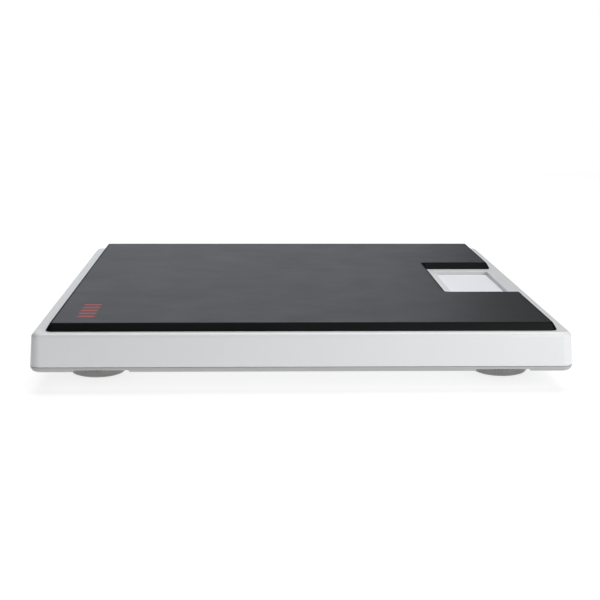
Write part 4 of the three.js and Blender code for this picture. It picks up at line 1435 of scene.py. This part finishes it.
@dataclass(frozen=True)
class Softbox:
    """A rectangular soft light aimed at a point.

    Attributes:
        name: The light's name.
        place: Where it hangs.
        target: What it looks at.
        size: Its sides.
        power: Its power, in watts.
        colour: Its colour.
    """

    name: str
    place: tuple[float, float, float]
    target: tuple[float, float, float]
    size: Plan
    power: float
    colour: Colour = (1.0, 1.0, 1.0)

    def hang(self) -> None:
        """Adds the light to the scene."""
        data = bpy.data.lights.new(self.name, "AREA")
        data.shape, data.energy, data.color = "RECTANGLE", self.power, self.colour
        data.size, data.size_y = self.size
        light = bpy.data.objects.new(self.name, data)
        light.location = self.place
        light.rotation_euler = (Vector(self.target) - light.location).to_track_quat("-Z", "Y").to_euler()
        light.visible_camera = False
        bpy.context.scene.collection.objects.link(light)


@dataclass
class Studio:
    """A pale floor, a camera and soft lights.

    Attributes:
        lens: Focal length, in millimetres.
        sensor: Width of the sensor, in millimetres.
        place: The camera's place.
        yaw: Turn to the right, in degrees.
        pitch: Tilt down, in degrees.
        roll: Lean, in degrees.
        floor_half: Half the floor's side.
        floor_glow: Light that the floor gives off by itself, like a light table.
        surround: The colour of the light from all round.
        surround_strength: The strength of that light.
        softboxes: The soft lights.
    """

    lens: float = 85.0
    sensor: float = 36.0
    place: tuple[float, float, float] = (-0.03502, -1.16117, 0.22919)
    yaw: float = 1.979
    pitch: float = 9.874
    roll: float = 0.253
    floor_half: float = 1.6
    floor_glow: float = 0.78
    surround: Colour = (0.93, 0.96, 1.0)
    surround_strength: float = 0.02
    softboxes: tuple[Softbox, ...] = (
        Softbox("top softbox", (0.2, 0.5, 2.2), (0.1, 0.2, 0.0), (2.3, 2.3), 54.0),
        Softbox(
            "left back softbox", (-0.95, 3.0, 0.7), (-0.1, 0.0, 0.05), (3.4, 1.2), 12.0, (0.86, 0.91, 1.0)
        ),
        Softbox("right front softbox", (0.5, -0.8, 0.32), (0.13, -0.2, 0.03), (0.5, 0.4), 4.1),
    )

    def build(self) -> None:
        """Makes the camera, the floor and the lights."""
        self._camera()
        self._floor()
        self._world()
        for softbox in self.softboxes:
            softbox.hang()
        bpy.context.scene.view_settings.view_transform = "Standard"

    def _camera(self) -> None:
        """Aims the camera: forward from yaw and pitch, then rolled about the view line."""
        data = bpy.data.cameras.new("camera")
        data.lens, data.sensor_width = self.lens, self.sensor
        data.clip_start, data.clip_end = 0.05, 50.0
        yaw, pitch, roll = (math.radians(v) for v in (self.yaw, self.pitch, self.roll))
        level = Vector((math.sin(yaw), math.cos(yaw), 0.0))
        forward = level * math.cos(pitch) - Vector((0.0, 0.0, math.sin(pitch)))
        across = forward.cross(Vector((0, 0, 1))).normalized()
        above = across.cross(forward)
        right = across * math.cos(roll) + above * math.sin(roll)
        up = above * math.cos(roll) - across * math.sin(roll)
        turn = Matrix((right, up, -forward)).transposed().to_4x4()
        camera = bpy.data.objects.new("camera", data)
        camera.matrix_world = Matrix.Translation(self.place) @ turn
        bpy.context.scene.collection.objects.link(camera)
        bpy.context.scene.camera = camera

    def _floor(self) -> None:
        """A wide pale floor."""
        surface = Surface()
        half = self.floor_half
        corners = np.array([(-half, -half, 0.0), (half, -half, 0.0), (half, half, 0.0), (-half, half, 0.0)])
        surface.cap(surface.add_points(corners), up=True)
        floor = surface.build("floor", FLOOR)
        shader = floor.data.materials[0].node_tree.nodes["Principled BSDF"]
        shader.inputs["Emission Color"].default_value = (1.0, 1.0, 1.0, 1.0)
        shader.inputs["Emission Strength"].default_value = self.floor_glow

    def _world(self) -> None:
        """An even white surround for the eye, and a dimmer one for the light."""
        world = bpy.data.worlds.new("studio")
        world.use_nodes = True
        nodes, links = world.node_tree.nodes, world.node_tree.links
        nodes.clear()
        output = nodes.new("ShaderNodeOutputWorld")
        seen, cast = nodes.new("ShaderNodeBackground"), nodes.new("ShaderNodeBackground")
        seen.inputs["Color"].default_value = (1.0, 1.0, 1.0, 1.0)
        cast.inputs["Color"].default_value = (*self.surround, 1.0)
        cast.inputs["Strength"].default_value = self.surround_strength
        path, mix = nodes.new("ShaderNodeLightPath"), nodes.new("ShaderNodeMixShader")
        links.new(path.outputs["Is Camera Ray"], mix.inputs[0])
        links.new(cast.outputs[0], mix.inputs[1])
        links.new(seen.outputs[0], mix.inputs[2])
        links.new(mix.outputs[0], output.inputs["Surface"])
        bpy.context.scene.world = world


def main() -> None:
    """Builds the scene in order."""
    logging.basicConfig(level=logging.INFO, format="%(name)s: %(message)s")
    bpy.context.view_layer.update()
    Studio().build()
    PlatformMat().build()
    TopCover().build()
    BasePan().build()
    Display().build()
    for corner in CORNERS:
        LevellingFoot(corner).build()
    BatteryBay().build()
    Fasteners().build()
    InnerWorks().build()


if __name__ == "__main__":
    main()
